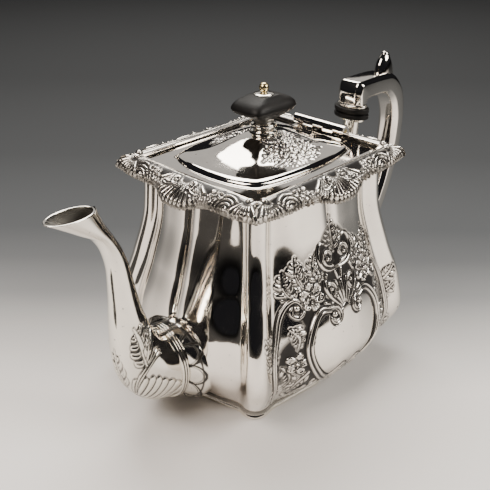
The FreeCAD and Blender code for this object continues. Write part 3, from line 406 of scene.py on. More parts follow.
def side_relief():
    """Scrolls, flowers and shells round the plain cartouche of a long wall."""
    relief = Relief((-58, 4), (58, 108))
    # darkened ground, from the foot to the apex
    relief.matting((0, 34), (46, 27))
    relief.matting((0, 62), (30, 22))
    relief.matting((0, 84), (11, 14))
    # small leaves behind
    relief.leaf([(-24, 72), (-27, 79), (-26.5, 89)], 4.6, 0.9, 4)
    relief.leaf([(-15, 74), (-17, 81), (-14, 88)], 3.8, 0.85, 4)
    relief.leaf([(-30, 68), (-34, 74), (-33.5, 83)], 4.2, 0.85, 4)
    relief.leaf([(-44, 47), (-49, 50), (-53.5, 57)], 4.0, 0.8, 4)
    relief.leaf([(-44, 42), (-49, 41), (-54, 45)], 3.6, 0.75, 4)
    relief.leaf([(-42, 24), (-47, 21), (-51, 15)], 3.8, 0.75, 4)
    relief.leaf([(-20, 12), (-30, 9), (-40, 9.5)], 3.8, 0.8, 4)
    relief.leaf([(-36, 55), (-33, 50), (-35, 44)], 3.6, 0.85, 4)
    relief.leaf([(-30, 30), (-36, 25), (-37, 17)], 4.0, 0.85, 4)
    relief.leaf([(-43, 36), (-40, 30), (-42, 24)], 3.2, 0.85, 4)
    # outer S-scroll with its volute
    relief.spiral((-31.5, 63.2), 80, -1.05, 5.2, 1.5, [1.0, 1.5, 1.5, 1.1, 0.9], 1.25,
                  lead=[(-44.5, 12), (-47.3, 24), (-46.8, 40), (-42.6, 55), (-37, 65)])
    relief.spiral((-24.5, 20.5), 200, 1.1, 5.0, 1.3, [0.8, 1.2, 1.1, 0.9], 1.1,
                  lead=[(-40, 17), (-35, 13.5)])
    # shell above the cartouche
    relief.fan((0, 54.5), 28, 152, 9, 15.5, 1.35, 1.1)
    relief.spiral((-8.8, 67.2), -60, 1.15, 4.4, 1.1, [0.6, 1.1, 1.1, 0.8], 1.2,
                  lead=[(-12.5, 58.5), (-8.5, 60.6)])
    relief.ridge([(-3, 57), (-8, 62), (-11.5, 70), (-8, 76.5), (-3, 77.5)],
                 [0.4, 0.9, 1.1, 0.9, 0.5], 1.1)
    # apex scrolls and palmette
    relief.spiral((-5.6, 83), -70, -1.2, 5.2, 1.2, [0.6, 1.0, 1.1, 0.8], 1.15,
                  lead=[(-1.2, 70.5), (-2.6, 76)])
    relief.ridge([(-1, 76), (-9.5, 78), (-12.5, 85), (-9.5, 91), (-6, 90)],
                 [0.5, 1.0, 1.2, 0.9, 0.4], 1.1)
    relief.leaf([(-2.6, 88), (-3.4, 93), (-1.4, 97.5)], 2.8, 0.9, 4)
    relief.leaf([(0, 84), (0, 93), (0, 103)], 3.4, 1.1, 4)
    # flowers
    relief.flower((-20.8, 67.5), 7.4, 1.5, 6, 100)
    relief.flower((-35.6, 36.5), 5.8, 1.3, 5, 70)
    relief.flower((-27.5, 47.5), 3.4, 1.0, 5, 20)
    relief.flower((-31, 13.5), 3.6, 1.0, 5, 50)
    relief.flower((-13.5, 75.5), 3.0, 0.9, 5, 30)
    # cartouche: plain raised field inside a bold C-scroll
    relief.spiral((-9.2, 53.6), 110, -1.0, 4.6, 1.6, [1.6, 2.1, 2.2, 2.1, 1.7, 1.2], 1.9,
                  lead=[(-4, 13.4), (-15, 18.5), (-25, 28.5), (-28.6, 41), (-24, 53.5),
                        (-16, 59.2)])
    relief.spiral((-5.4, 20.2), 150, -1.05, 4.4, 1.3, [0.9, 1.2, 1.1, 0.9], 1.2,
                  lead=[(-17, 15.2), (-12.5, 19.5)])
    relief.fan((0, 19.5), 200, 340, 7, 9.0, 1.15, 1.0)
    relief.ridge([(-26, 7.6), (-14, 6.2), (0, 6.8)], [0.5, 0.9, 0.9], 0.7)
    relief.mirror()
    # the field stays bright and plain
    uu, vv = np.meshgrid(relief.u, relief.v)
    field = (np.abs(uu) / 27.0) ** 2.5 + (np.abs(vv - 37.0) / 21.5) ** 2.5
    plain = (field < 1) & (np.abs(relief.height) < 1e-6)
    relief.ground[plain] = 0
    relief.height[plain] += 0.5 * (1 - field[plain] ** 2)
    # and so does the root of the shell above it
    relief.ground[np.hypot(uu, vv - 55.0) < 5.0] = 0
    relief.finish()
    return relief


def gallery_relief(half):
    """One strip of the border: u along it, v out from the inner edge."""
    relief = Relief((-half - 12, 0), (half + 12, 19), 0.2)
    relief.matting((0, 11), (half + 12, 9.5), 0.9)
    relief.ridge([(-half - 12, 3.1), (0, 3.1)], 0.42, 0.35, groove=0.1)
    # centre shell with long flutes
    relief.fan((0, 3.6), 30, 150, 11, 14.6, 1.35, 1.3)
    # acanthus flutes that sweep out on both sides
    for step in range(5):
        root = -4.4 - 1.5 * step
        relief.ridge([(root, 4.2 + 0.15 * step), (root - 4.2, 7.8), (root - 8.8, 13.4 - 0.8 * step)],
                     [0.45, 0.85, 1.1, 0.5], 1.15)
    relief.spiral((-5.6, 6.2), 60, 1.0, 2.6, 0.8, [0.5, 0.8, 0.6], 1.2,
                  lead=[(-12, 9.6), (-9.5, 10.2)])
    # flower cluster
    relief.leaf([(-0.46 * half, 9.4), (-0.40 * half, 12), (-0.38 * half, 15)], 2.2, 0.9, 3)
    relief.flower((-0.50 * half, 7.4), 3.1, 1.5, 5, 90)
    relief.flower((-0.585 * half, 10.4), 2.1, 1.2, 5, 40)
    relief.flower((-0.43 * half, 10.6), 2.0, 1.2, 5, 10)
    # reeded C-scroll arcs
    centre = np.array([-0.745 * half, 13.4])
    for arc, width in ((8.6, 0.8), (6.7, 0.75), (4.9, 0.75), (3.2, 0.7), (1.4, 0.8)):
        turn = np.radians(np.linspace(8, 172, 12))
        curve = centre + arc * np.stack([np.cos(turn), -np.sin(turn)], axis=1)
        relief.ridge(curve, [0.4, width, width, 0.4], 1.2)
    relief.spiral((-0.60 * half, 5.6), 200, -0.9, 2.0, 0.7, [0.4, 0.7, 0.6], 1.1)
    # corner shell, cut by the mitre
    corner = (-half * 0.985, 3.4)
    relief.fan(corner, 50, 175, 9, 12.4, 1.2, 1.35, 0.3)
    relief.ridge([(corner[0] + 0.01, corner[1]), corner], 1.5, 1.4)
    relief.mirror()
    relief.finish()
    return relief


def lid_relief():
    """Spray of flowers and leaves on each long face of the dome, in plan."""
    relief = Relief((-26, 0), (26, 32), 0.2)
    for spine in ([(-4, 17), (-11, 16.5), (-19.5, 17.5)], [(-3, 14), (-8, 11), (-10.5, 8.2)],
                  [(-4, 20), (-10, 22.5), (-16, 23)], [(4, 20), (11, 21), (20, 22.2)],
                  [(3, 15), (9, 12.5), (15, 12)], [(0, 13), (0.5, 9), (1.5, 5.5)],
                  [(-2, 22), (-5, 26), (-9, 28)], [(3, 22), (7, 25.5), (13, 26.5)],
                  [(0, 22), (0, 26), (1, 29.5)], [(4, 14), (7, 9.5), (8, 6.5)]):
        relief.leaf(spine, 3.3, 0.7, 3)
    relief.flower((12.2, 18.2), 4.4, 1.0, 5, 20)
    relief.flower((7.0, 24.0), 3.4, 0.9, 5, 60)
    relief.flower((4.6, 11.0), 3.2, 0.9, 5, 0)
    relief.flower((-1.6, 17.8), 6.2, 1.25, 5, 90)
    relief.ridge([(16, 17), (20, 16), (23, 17.5)], [0.7, 0.6, 0.3], 0.6)
    relief.finish()
    return relief


# ------------------------------------------------------------------ materials
def new_material(name):
    material = bpy.data.materials.new(name)
    material.use_nodes = True
    tree = material.node_tree
    return material, tree, tree.nodes["Principled BSDF"]


def add_node(tree, kind, **values):
    """Node with properties or, where the name is a socket's, socket values."""
    node = tree.nodes.new(kind)
    for name, value in values.items():
        if hasattr(node, name):
            setattr(node, name, value)
        else:
            node.inputs[name.replace("_", " ").title()].default_value = value
    return node


def noise(tree, scale, detail=4.0, stretch=(1, 1, 1)):
    """Noise over the piece's own coordinates."""
    place = tree.nodes.new("ShaderNodeTexCoord")
    mapping = tree.nodes.new("ShaderNodeMapping")
    mapping.inputs["Scale"].default_value = stretch
    texture = add_node(tree, "ShaderNodeTexNoise", scale=scale, detail=detail)
    tree.links.new(place.outputs["Object"], mapping.inputs["Vector"])
    tree.links.new(mapping.outputs["Vector"], texture.inputs["Vector"])
    return texture.outputs["Fac"]


def spread(tree, source, low, high, start=0.35, end=0.65):
    """Map a noise's middle range onto low to high."""
    node = tree.nodes.new("ShaderNodeMapRange")
    for name, value in (("From Min", start), ("From Max", end), ("To Min", low), ("To Max", high)):
        node.inputs[name].default_value = value
    tree.links.new(source, node.inputs["Value"])
    return node.outputs["Result"]


def combine(tree, operation, first, second):
    node = tree.nodes.new("ShaderNodeMath")
    node.operation = operation
    for socket, value in zip(node.inputs, (first, second)):
        if isinstance(value, float):
            socket.default_value = value
        else:
            tree.links.new(value, socket)
    return node.outputs["Value"]


def silver(name, bright, gloom, rough, scratch=0.05, wobble=0.0):
    """Polished plate: tarnish in the recesses and painted shade on some pieces, both from one per-point
    attribute; fine scratches and old dents.
    """
    material, tree, shader = new_material(name)
    tarnish_and_shade = tree.nodes.new("ShaderNodeAttribute")
    tarnish_and_shade.attribute_name = "tarnish_and_shade"
    film = spread(tree, noise(tree, 55, 5.0), 0.0, 0.10)
    pits = spread(tree, noise(tree, 420, 2.0), 0.0, 0.5, 0.70, 0.78)
    deep = combine(tree, "MULTIPLY", tarnish_and_shade.outputs["Fac"], 1.7)
    amount = combine(tree, "ADD", combine(tree, "ADD", deep, film), pits)
    amount = combine(tree, "MINIMUM", amount, 1.0)
    colour = add_node(tree, "ShaderNodeMix", data_type="RGBA")
    colour.inputs[6].default_value = (*bright, 1)
    colour.inputs[7].default_value = (*gloom, 1)
    tree.links.new(amount, colour.inputs[0])
    tree.links.new(colour.outputs[2], shader.inputs["Base Color"])
    tree.links.new(spread(tree, amount, 1.0, 0.25, 0.35, 1.0), shader.inputs["Metallic"])
    smear = spread(tree, noise(tree, 90, 6.0, (1, 1, 3)), rough, rough * 2.1)
    dull = combine(tree, "MULTIPLY", tarnish_and_shade.outputs["Fac"], 0.30)
    tree.links.new(combine(tree, "ADD", smear, dull), shader.inputs["Roughness"])
    fine = tree.nodes.new("ShaderNodeBump")
    fine.inputs["Strength"].default_value = scratch
    fine.inputs["Distance"].default_value = 0.0001
    tree.links.new(noise(tree, 900, 3.0, (1, 1, 0.08)), fine.inputs["Height"])
    last = fine
    if wobble:
        dents = tree.nodes.new("ShaderNodeBump")
        dents.inputs["Strength"].default_value = wobble
        dents.inputs["Distance"].default_value = 0.001
        tree.links.new(noise(tree, 26, 1.0), dents.inputs["Height"])
        tree.links.new(fine.outputs["Normal"], dents.inputs["Normal"])
        last = dents
    tree.links.new(last.outputs["Normal"], shader.inputs["Normal"])
    return material


def ebony(name):
    """Near-black turned wood with a faint straight grain and worn polish."""
    material, tree, shader = new_material(name)
    grain = noise(tree, 160, 6.0, (0.25, 1, 1))
    colour = tree.nodes.new("ShaderNodeValToRGB")
    colour.color_ramp.elements[0].position = 0.35
    colour.color_ramp.elements[0].color = (0.003, 0.003, 0.003, 1)
    colour.color_ramp.elements[1].position = 0.75
    colour.color_ramp.elements[1].color = (0.014, 0.012, 0.011, 1)
    tree.links.new(grain, colour.inputs["Fac"])
    tree.links.new(colour.outputs["Color"], shader.inputs["Base Color"])
    shader.inputs["Specular IOR Level"].default_value = 0.2
    tree.links.new(spread(tree, noise(tree, 70), 0.42, 0.58), shader.inputs["Roughness"])
    bump = tree.nodes.new("ShaderNodeBump")
    bump.inputs["Strength"].default_value = 0.18
    bump.inputs["Distance"].default_value = 0.0002
    tree.links.new(noise(tree, 420, 4.0, (0.15, 1, 1)), bump.inputs["Height"])
    tree.links.new(bump.outputs["Normal"], shader.inputs["Normal"])
    return material


POLISHED = silver("silver_polished", (0.94, 0.885, 0.815), (0.02, 0.017, 0.014), 0.045,
                  wobble=0.05)
CHASED = silver("silver_chased", (0.93, 0.88, 0.81), (0.010, 0.008, 0.007), 0.07, 0.10)
CAST = silver("silver_cast", (0.90, 0.85, 0.775), (0.010, 0.008, 0.007), 0.11, 0.14)
WORN = silver("silver_worn", (0.91, 0.87, 0.79), (0.016, 0.013, 0.010), 0.07, 0.10, 0.03)
INSIDE = silver("silver_tea_stained", (0.50, 0.43, 0.33), (0.09, 0.06, 0.035), 0.30, 0.2)
BRASS = silver("worn_plate_brass", (0.80, 0.66, 0.36), (0.10, 0.07, 0.03), 0.14, 0.08)
EBONY = ebony("ebony_wood")


# ------------------------------------------------------------- mesh building
def grid_normals(points, wrap=False):
    """Unit normals of a grid of points."""
    if wrap:
        along = np.roll(points, -1, axis=1) - np.roll(points, 1, axis=1)
    else:
        along = np.gradient(points, axis=1)
    down = np.gradient(points, axis=0)
    normals = np.cross(along, down)
    return normals / (np.linalg.norm(normals, axis=2)[..., None] + 1e-12)


class Patch:
    """Grid of points with its darkening (tarnish and painted shade); wrap joins its last column to its
    first.
    """

    def __init__(self, points, dark=None, wrap=False):
        self.points = points
        self.dark = np.zeros(points.shape[:2]) if dark is None else dark
        self.wrap = wrap


def raised(points, outward, relief_values, wrap=False):
    """Patch moved along its normals by an ornament; outward sets their side."""
    normals = grid_normals(points, wrap)
    if (normals * outward).sum() < 0:
        normals = -normals
    height, dark = relief_values
    return Patch(points + normals * height[..., None], dark, wrap)


def build(name, patches, material, body="pot", replaces=()):
    """One mesh piece from patches, riding on a body."""
    points, quads, dark = [], [], []
    offset = 0
    for patch in patches:
        rows, columns = patch.points.shape[:2]
        index = offset + np.arange(rows * columns).reshape(rows, columns)
        left = index if patch.wrap else index[:, :-1]
        right = np.roll(index, -1, axis=1) if patch.wrap else index[:, 1:]
        quads.append(np.stack([left[:-1], right[:-1], right[1:], left[1:]], -1).reshape(-1, 4))
        points.append(patch.points.reshape(-1, 3))
        dark.append(patch.dark.reshape(-1))
        offset += rows * columns
    low, high = (np.array(corner) for corner in cad_box)
    places = np.clip(np.concatenate(points) * MM, low + 0.02 * MM, high - 0.02 * MM)
    mesh = bpy.data.meshes.new(name)
    mesh.from_pydata(places.tolist(), [], np.concatenate(quads).tolist())
    # per-point darkening: tarnish in the ornament's hollows and painted shade on some pieces
    layer = mesh.attributes.new("tarnish_and_shade", "FLOAT", "POINT")
    layer.data.foreach_set("value", np.concatenate(dark).astype(np.float32))
    shaped = bmesh.new()
    shaped.from_mesh(mesh)
    bmesh.ops.remove_doubles(shaped, verts=shaped.verts, dist=1e-7)
    bmesh.ops.recalc_face_normals(shaped, faces=shaped.faces)
    shaped.to_mesh(mesh)
    shaped.free()
    mesh.polygons.foreach_set("use_smooth", [True] * len(mesh.polygons))
    mesh.materials.append(material)
    thing = bpy.data.objects.new(name, mesh)
    bpy.context.scene.collection.objects.link(thing)
    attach(thing, body)
    if replaces:
        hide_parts(*replaces)
    return thing


def set_normals(thing, normals):
    """Give an open patch the normals of the larger surface that it's cut from."""
    mesh = thing.data
    flat = normals.reshape(-1, 3)
    first = mesh.polygons[0]
    corner = flat[first.vertices[0]]
    if np.dot(np.array(first.normal), corner) < 0:
        mesh.flip_normals()
    mesh.normals_split_custom_set_from_vertices(flat.tolist())


def turned(profile, long_radius=None, short_radius=None, centre=(0, 0), count=64):
    """Patch turned about a vertical line; (radius, height) pairs.

    With long and short radii, the radii in the profile are added to both.
    """
    angle = np.linspace(0, 2 * math.pi, count, endpoint=False)
    rows = []
    for radius, height in profile:
        a = radius if long_radius is None else max(long_radius + radius, 0.0)
        b = radius if short_radius is None else max(short_radius + radius, 0.0)
        rows.append(np.stack([centre[0] + b * np.cos(angle), centre[1] + a * np.sin(angle),
                              np.full(count, height)], axis=1))
    return Patch(np.array(rows), wrap=True)


def softened(corners, radius=0.18, steps=3, closed=False):
    """Outline with rounded corners, for lathe profiles and cross-sections."""
    corners = [np.array(corner, float) for corner in corners]
    count = len(corners)
    result = []
    for index, corner in enumerate(corners):
        if not closed and index in (0, count - 1):
            result.append(corner)
            continue
        before = corners[index - 1] - corner
        after = corners[(index + 1) % count] - corner
        reach = min(radius, np.linalg.norm(before) * 0.45, np.linalg.norm(after) * 0.45)
        start = corner + before / np.linalg.norm(before) * reach
        end = corner + after / np.linalg.norm(after) * reach
        for u in np.linspace(0, 1, steps + 1):
            result.append((1 - u) ** 2 * start + 2 * u * (1 - u) * corner + u ** 2 * end)
    return [tuple(point) for point in result]


# ------------------------------------------------------------------- walls
FINE = 0.42
WALL_HEIGHTS = np.linspace(5.0, 121.4, int(128 / FINE))


def make_wall(name, along_x, sign, relief):
    """One wall of the body with its ornament, from corner to corner."""
    half = int((62 if along_x else 55) / (FINE if relief else 0.7))
    points = wall_grid(WALL_HEIGHTS, along_x, sign, half)
    outward = np.zeros(3)
    outward[1 if along_x else 0] = sign
    if relief:
        height, dark = relief.read(points[..., 0] * 1.0, points[..., 2])
    else:
        height = dark = np.zeros(points.shape[:2])
    across, out = (0, 1) if along_x else (1, 0)
    side = np.abs(points[..., across])
    seam = np.exp(-(side / 0.35) ** 2) * (height < 0.2)
    if relief:
        # the seam is planished flush across the plain cartouche
        flush = np.clip((86.0 - points[..., 2]) / 22.0, 0, 1)
        for row, share in zip(points, flush[:, 0]):
            near, far = np.interp((6.0, 9.0), row[half:, across], row[half:, out])
            bend = (far - near) / 45.0
            level = near + bend * (row[:, across] ** 2 - 36.0)
            inside = np.abs(row[:, across]) < 6.0
            row[inside, out] += share * (level - row[:, out])[inside]
        seam = seam * (1 - flush)
    dark = np.maximum(dark, 0.22 * seam)
    patch = raised(points, outward, (height, dark))
    normals = grid_normals(patch.points)
    if (normals * outward).sum() < 0:
        normals = -normals
    inner = slice(1, -1)
    cut = Patch(patch.points[:, inner], patch.dark[:, inner])
    material = CHASED if relief else POLISHED
    thing = build(name, [cut], material, replaces=["body_shell"])
    set_normals(thing, normals[:, inner])


def make_walls():
    relief = side_relief()
    make_wall("wall_front", True, -1, relief)
    make_wall("wall_back", True, 1, relief)
    make_wall("wall_spout_end", False, -1, None)
    make_wall("wall_handle_end", False, 1, None)


def loop_of_walls(heights, inset, half=(60, 50)):
    """Closed loop of body points at each height."""
    front = wall_grid(heights, True, -1, half[0], inset)[:, 1:-2]
    end = wall_grid(heights, False, 1, half[1], inset)[:, 1:-2]
    back = wall_grid(heights, True, 1, half[0], inset)[:, ::-1][:, 1:-2]
    start = wall_grid(heights, False, -1, half[1], inset)[:, ::-1][:, 1:-2]
    return np.concatenate([front, end, back, start], axis=1)


def make_lining():
    """Inner face of the body, stained by tea, with the strainer's holes shown as discs of painted shade.
    """
    heights = np.concatenate([[1.25], np.linspace(5.0, 121.3, 60)])
    rows = loop_of_walls(np.maximum(heights, 5.0), 1.2)
    rows[0, :, 2] = 1.25
    build("body_lining", [Patch(rows, wrap=True)], INSIDE)
    # the strainer's holes are dark discs: painted shade stands in for the dark seen through each hole
    hole_shade_discs = []
    for column in (-1.5, -0.5, 0.5, 1.5):
        for line in (-2, -1, 0, 1, 2):
            y, z = column * 4.8, 31.0 + line * 4.8
            wall = wall_grid(np.array([z]), False, -1, 50, 1.2)[0]
            x = float(np.interp(y, wall[:, 1], wall[:, 0])) + 0.12
            angle = np.linspace(0, 2 * math.pi, 20, endpoint=False)
            disc = [np.stack([np.full(20, x), y + r * np.cos(angle), z + r * np.sin(angle)], 1)
                    for r in (1.1, 0.6, 0.01)]
            hole_shade_discs.append(Patch(np.array(disc), np.ones((3, 20)), True))
    build("strainer_hole_shade_discs", hole_shade_discs, INSIDE)


def make_foot():
    """Low rolled foot with a shallow cove over it, with painted shade that darkens it towards the
    overhanging body.
    """
    profile = [(-3.4, 0.0), (-0.6, 0.0), (-0.1, 0.12), (0.12, 0.4), (0.25, 0.8), (0.25, 1.4),
               (0.1, 1.95), (-0.1, 2.3), (-0.24, 2.8), (-0.3, 3.4), (-0.25, 4.2), (-0.1, 5.0)]
    rows = []
    for proud, z in profile:
        loop = loop_of_walls(np.array([5.0]), -proud, (120, 100))[0]
        loop[:, 2] = z
        rows.append(loop)
    rows = np.array(rows)
    dark = np.zeros(rows.shape[:2])
    # painted shade: the cove darkens towards the body's overhang above it
    for row, under_body_shade in ((7, 0.15), (8, 0.3), (9, 0.35), (10, 0.4), (11, 0.45)):
        dark[row] = under_body_shade
    build("foot_moulding", [Patch(rows, dark, True)], WORN, replaces=["foot_rim"])


# ----------------------------------------------------------------- gallery
def make_gallery_strip(name, node, along_x, sign):
    """Cast border along one side: scrolls and shells on a lobed, rolled edge."""
    half_side, middle = RIM_HALF if along_x else RIM_HALF[::-1]
    relief = gallery_relief(half_side)
    count = int(2 * half_side / (0.27))
    columns = np.linspace(-1, 1, count)
    shares = np.linspace(0, 1, 60)
    points, reach = gallery_grid(along_x, sign, columns, shares)
    along = points[..., 0 if along_x else 1]
    out = shares[:, None] * reach
    height, dark = relief.read(along, out)
    edge = np.clip((reach - out) / 1.3, 0, 1)
    swell = 1.5 * np.sin(math.pi * np.clip(shares[:, None] ** 0.8, 0, 1))
    height = (height * 0.9 + swell) * np.sqrt(edge) * np.clip(out / 2.0, 0, 1)
    height = height - 0.9 * (1 - edge) ** 2
    # scallops: every rib that reaches the edge pushes it out, every gap pulls it in
    beat = relief.read(along, np.maximum(out - 1.2, 0))[0]
    pull = np.where(beat > 0.35, 0.0, 0.9) * np.clip(1 - (reach - out) / 2.5, 0, 1)
    axis = 1 if along_x else 0
    points[..., axis] -= sign * pull
    patch = raised(points, np.array([0, 0, 1.0]), (height, dark))
    under = patch.points[::-1].copy()
    under[..., 2] -= np.linspace(2.2, 2.6, len(shares))[:, None]
    under[0, :, axis] -= sign * 0.5
    rim = np.stack([patch.points[-1], (patch.points[-1] + under[0]) / 2, under[0]])
    rim[1, :, axis] += sign * 0.35
    limit = np.abs(rim[..., axis]).max()
    rim[..., axis] *= min(1.0, (middle + reach.max() - 0.02) / limit)
    # the rolled edge and the underside are darkened: painted shade under the border
    patches = [patch, Patch(rim, np.full(rim.shape[:2], 0.25)),
               Patch(under, np.full(under.shape[:2], 0.35))]
    build(name, patches, CAST, replaces=[node])


def make_gallery():
    for name, along_x, sign in (("gallery_front_side", True, -1), ("gallery_back_side", True, 1),
                                ("gallery_spout_end", False, -1),
                                ("gallery_handle_end", False, 1)):
        make_gallery_strip("cast_" + name, name, along_x, sign)


# --------------------------------------------------------------------- lid
def make_lid():
    """Lid: flat margin, step, four-sided dome and the chased sprays."""
    per_quarter = 108
    places = np.concatenate([np.linspace(0, 3, 26), np.linspace(3, 8, 110)[1:]])
    loops = dome_loops(blend_rows(LID, places), per_quarter)
    relief = lid_relief()
    height, dark = relief.read(loops[..., 0], np.abs(loops[..., 1]))
    dome = raised(loops, np.array([0, 0, 1.0]), (height, dark), True)
    base = loops[0]
    half = np.array([47.2, 39.4])
    stretch = 1 / np.max(np.abs(base[:, :2]) / (half - 0.25), axis=1)
    edge = np.column_stack([base[:, :2] * stretch[:, None], np.full(len(base), LID_SEAT)])
    margin = []
    for share in np.linspace(0, 1, 9):
        margin.append(base * (1 - share) + edge * share)
    rim = [edge * (1, 1, 1), np.column_stack([edge[:, :2] * 1.004, edge[:, 2] - 0.1]),
           np.column_stack([edge[:, :2] * 1.0055, edge[:, 2] - 0.35]),
           np.column_stack([edge[:, :2] * 1.0055, edge[:, 2] - 0.95])]
    border = np.array(margin + rim[1:])
    inside_rows = blend_rows(LID, np.linspace(0, 8, 50))
    inside = dome_loops([(r[0] - 1.0, r[1] - 1.0, r[2] - 1.0, r[3]) for r in inside_rows],
                        per_quarter)
    under = np.stack([border[-1], np.column_stack([inside[0][:, :2], border[-1][:, 2]])])
    material_patches = [dome, Patch(border, wrap=True), Patch(under, wrap=True),
                        # the dome's underside is darkened a little: painted shade under the lid
                        Patch(inside, np.full(inside.shape[:2], 0.15), True)]
    build("lid_dome", material_patches, POLISHED, body="lid", replaces=["lid_shell"])


# ------------------------------------------------------------------- finial
def make_finial():
    """Collar, washer and ball-headed screw."""
    collar = softened([(1.6, 135.95), (7.0, 135.95), (7.0, 137.1), (5.4, 137.9), (5.0, 138.4),
                       (5.3, 138.8), (6.8, 139.2), (6.8, 140.8), (5.2, 141.5), (4.9, 142.6),
                       (5.3, 143.2), (5.8, 143.5), (5.8, 144.0), (1.6, 144.0)], 0.4)
    patch = turned(collar)
    patch.dark[:] = [[0.35 if radius < 5.5 else 0.0] for radius, _ in collar]
    build("finial_rings", [patch], WORN, "lid", ["finial_collar"])
    washer = softened([(1.6, 155.5), (5.3, 155.55), (5.3, 155.95), (4.4, 156.35), (2.6, 156.62),
                       (1.5, 156.62)], 0.3)
    build("finial_cap", [turned(washer)], WORN, "lid", ["finial_washer"])
    ball = [(1.5, 156.3), (1.55, 156.8), (1.3, 157.0)]
    ball += [(2.5 * math.cos(a), 159.08 + 2.5 * math.sin(a))
             for a in np.linspace(-1.0, math.pi / 2, 22)]
    shank = [(0.01, 131.2), (1.4, 131.2), (1.5, 131.4)] + ball
    build("finial_ball", [turned(shank, count=40)], BRASS, "lid", ["finial_screw"])


KNOB = [(0.0, 0.42, 0.56), (0.14, 0.68, 0.74), (0.32, 0.93, 0.94), (0.48, 1.0, 1.0),
        (0.64, 0.95, 0.95), (0.80, 0.81, 0.82), (0.93, 0.58, 0.64), (1.0, 0.40, 0.54)]
KNOB_QUARTER = np.array([(1.0, 0.0), (0.985, 0.40), (0.93, 0.78), (0.86, 0.89), (0.76, 0.945),
                         (0.42, 0.99), (0.0, 1.0)])


def make_knob():
    """Cushion-shaped ebony knob."""
    knots = chord_knots(KNOB_QUARTER)
    quarter = spline(knots, KNOB_QUARTER, np.linspace(0, knots[-1], 33))
    quarter[0, 1] = quarter[-1, 0] = 0
    turn = np.concatenate([quarter[:-1], quarter[:0:-1] * (-1, 1), -quarter[:-1],
                           quarter[:0:-1] * (1, -1)])
    rows = []
    for share, long_share, wide_share in blend_rows(KNOB, np.linspace(0, 7, 57)):
        rows.append(np.column_stack([turn[:, 0] * 16.0 * long_share, turn[:, 1] * 11.2 * wide_share,
                                     np.full(len(turn), 144.0 + 11.6 * share)]))
    rows = [rows[0] * (0.3, 0.3, 1)] + rows + [rows[-1] * (0.3, 0.3, 1)]
    build("ebony_knob", [Patch(np.array(rows), wrap=True)], EBONY, "lid", ["finial_knob"])


# -------------------------------------------------------------------- spout
def spout_ornament():
    """Chasing of the spout's bulb, unrolled: across and up from its front foot."""
    relief = Relief((-44, 0), (44, 56), 0.2)
    # gadroons that fan from the front notch over the bulb's foot
    for rib in range(8):
        angle = math.radians(22 + 14 * rib)
        for side in (-1, 1):
            way = np.array([side * math.sin(angle), 0.62 * math.cos(angle) - 0.20])
            root = np.array([0.0, 11.5])
            relief.ridge([root + way * 5, root + way * 14, root + way * 25], [0.5, 1.7, 2.3], 0.7)
    for side in (-1, 1):
        # reeded arc that frames the gadroons, then the leaf and its curl
        for reach in (0.0, 1.5):
            relief.ridge([(side * (4 + reach), 15 + reach), (side * 12, 21 + reach),
                          (side * 24, 22.5 + reach), (side * 34, 17 + reach)],
                         [0.3, 0.65, 0.65, 0.3], 0.6)
        relief.leaf([(side * 19, 25), (side * 17, 33), (side * 12, 44)], 5.5, 0.8, 4)
        relief.leaf([(side * 20, 26), (side * 23, 32), (side * 25, 38)], 3.6, 0.7, 3)
        relief.ridge([(side * 20, 25), (side * 27, 28), (side * 27, 33), (side * 24, 32)],
                     [0.4, 0.9, 0.7, 0.4], 0.8)
    relief.leaf([(0, 19), (0, 27), (0, 36)], 4.2, 0.8, 4)
    relief.finish()
    relief.dark *= 0.75
    return relief


def make_spout():
    """Swan-neck spout with chased bulb, open mouth and rolled lip."""
    columns = 220
    angles = np.linspace(0, 2 * math.pi, columns, endpoint=False)
    places = np.concatenate([np.linspace(0, 5, 230),
                             np.linspace(5, 10, 90)[1:]])
    rows = blend_rows(SPOUT, places)
    outer = ring_grid(rows, angles)
    # unrolled coordinates: arc round the section, and length up its outer line
    girth = (rows[:, 4] + np.linalg.norm(rows[:, 2:4] - rows[:, :2], axis=1) / 2) / 2
    around = (angles + math.pi) % (2 * math.pi) - math.pi
    u = around[None, :] * girth[:, None]
    run = np.concatenate([[0], np.cumsum(np.linalg.norm(np.diff(rows[:, :2] * 0.5
                                                                + rows[:, 2:4] * 0.5, axis=0), axis=1))])
    v = np.broadcast_to(run[:, None], u.shape)
    relief = spout_ornament()
    height, dark = relief.read(u, v)
    fade = np.clip((np.abs(around)[None, :] < 2.75) * 1.0, 0, 1)
    height, dark = height * fade, dark * fade
    back = np.abs(np.abs(around) - math.pi)[None, :] * girth[:, None]
    bead = np.exp(-(back / 0.75) ** 4) * 0.55
    dark = np.maximum(dark, 0.7 * np.exp(-((back - 1.25) / 0.4) ** 2))
    patch = raised(outer, outer - outer.mean(axis=1, keepdims=True), (height + bead, dark), True)
    lip_steps = np.linspace(0, math.pi, 9)
    lip = []
    for step in lip_steps:
        inset = 0.6 - 0.6 * math.cos(step)
        ring = ring_grid(rows[-1:], angles, inset)[0]
        ring[:, 2] += 0.35 * math.sin(step)
        ring[:, 0] -= 0.25 * math.sin(step)
        lip.append(ring)
    inner_rows = blend_rows(SPOUT, np.linspace(10, 0, 70))
    inner = ring_grid(inner_rows, angles, 1.2)
    # inside the tube: tea stain at the mouth, and painted shade that darkens it further in
    stain_and_shade = np.clip(0.25 + 0.75 * np.linspace(0, 3.0, 70), 0, 0.95)[:, None]
    build("swan_neck_spout", [patch, Patch(np.array(lip), wrap=True),
                              Patch(inner, np.broadcast_to(stain_and_shade, inner.shape[:2]) * 1.0, True)],
          WORN, replaces=["spout"])


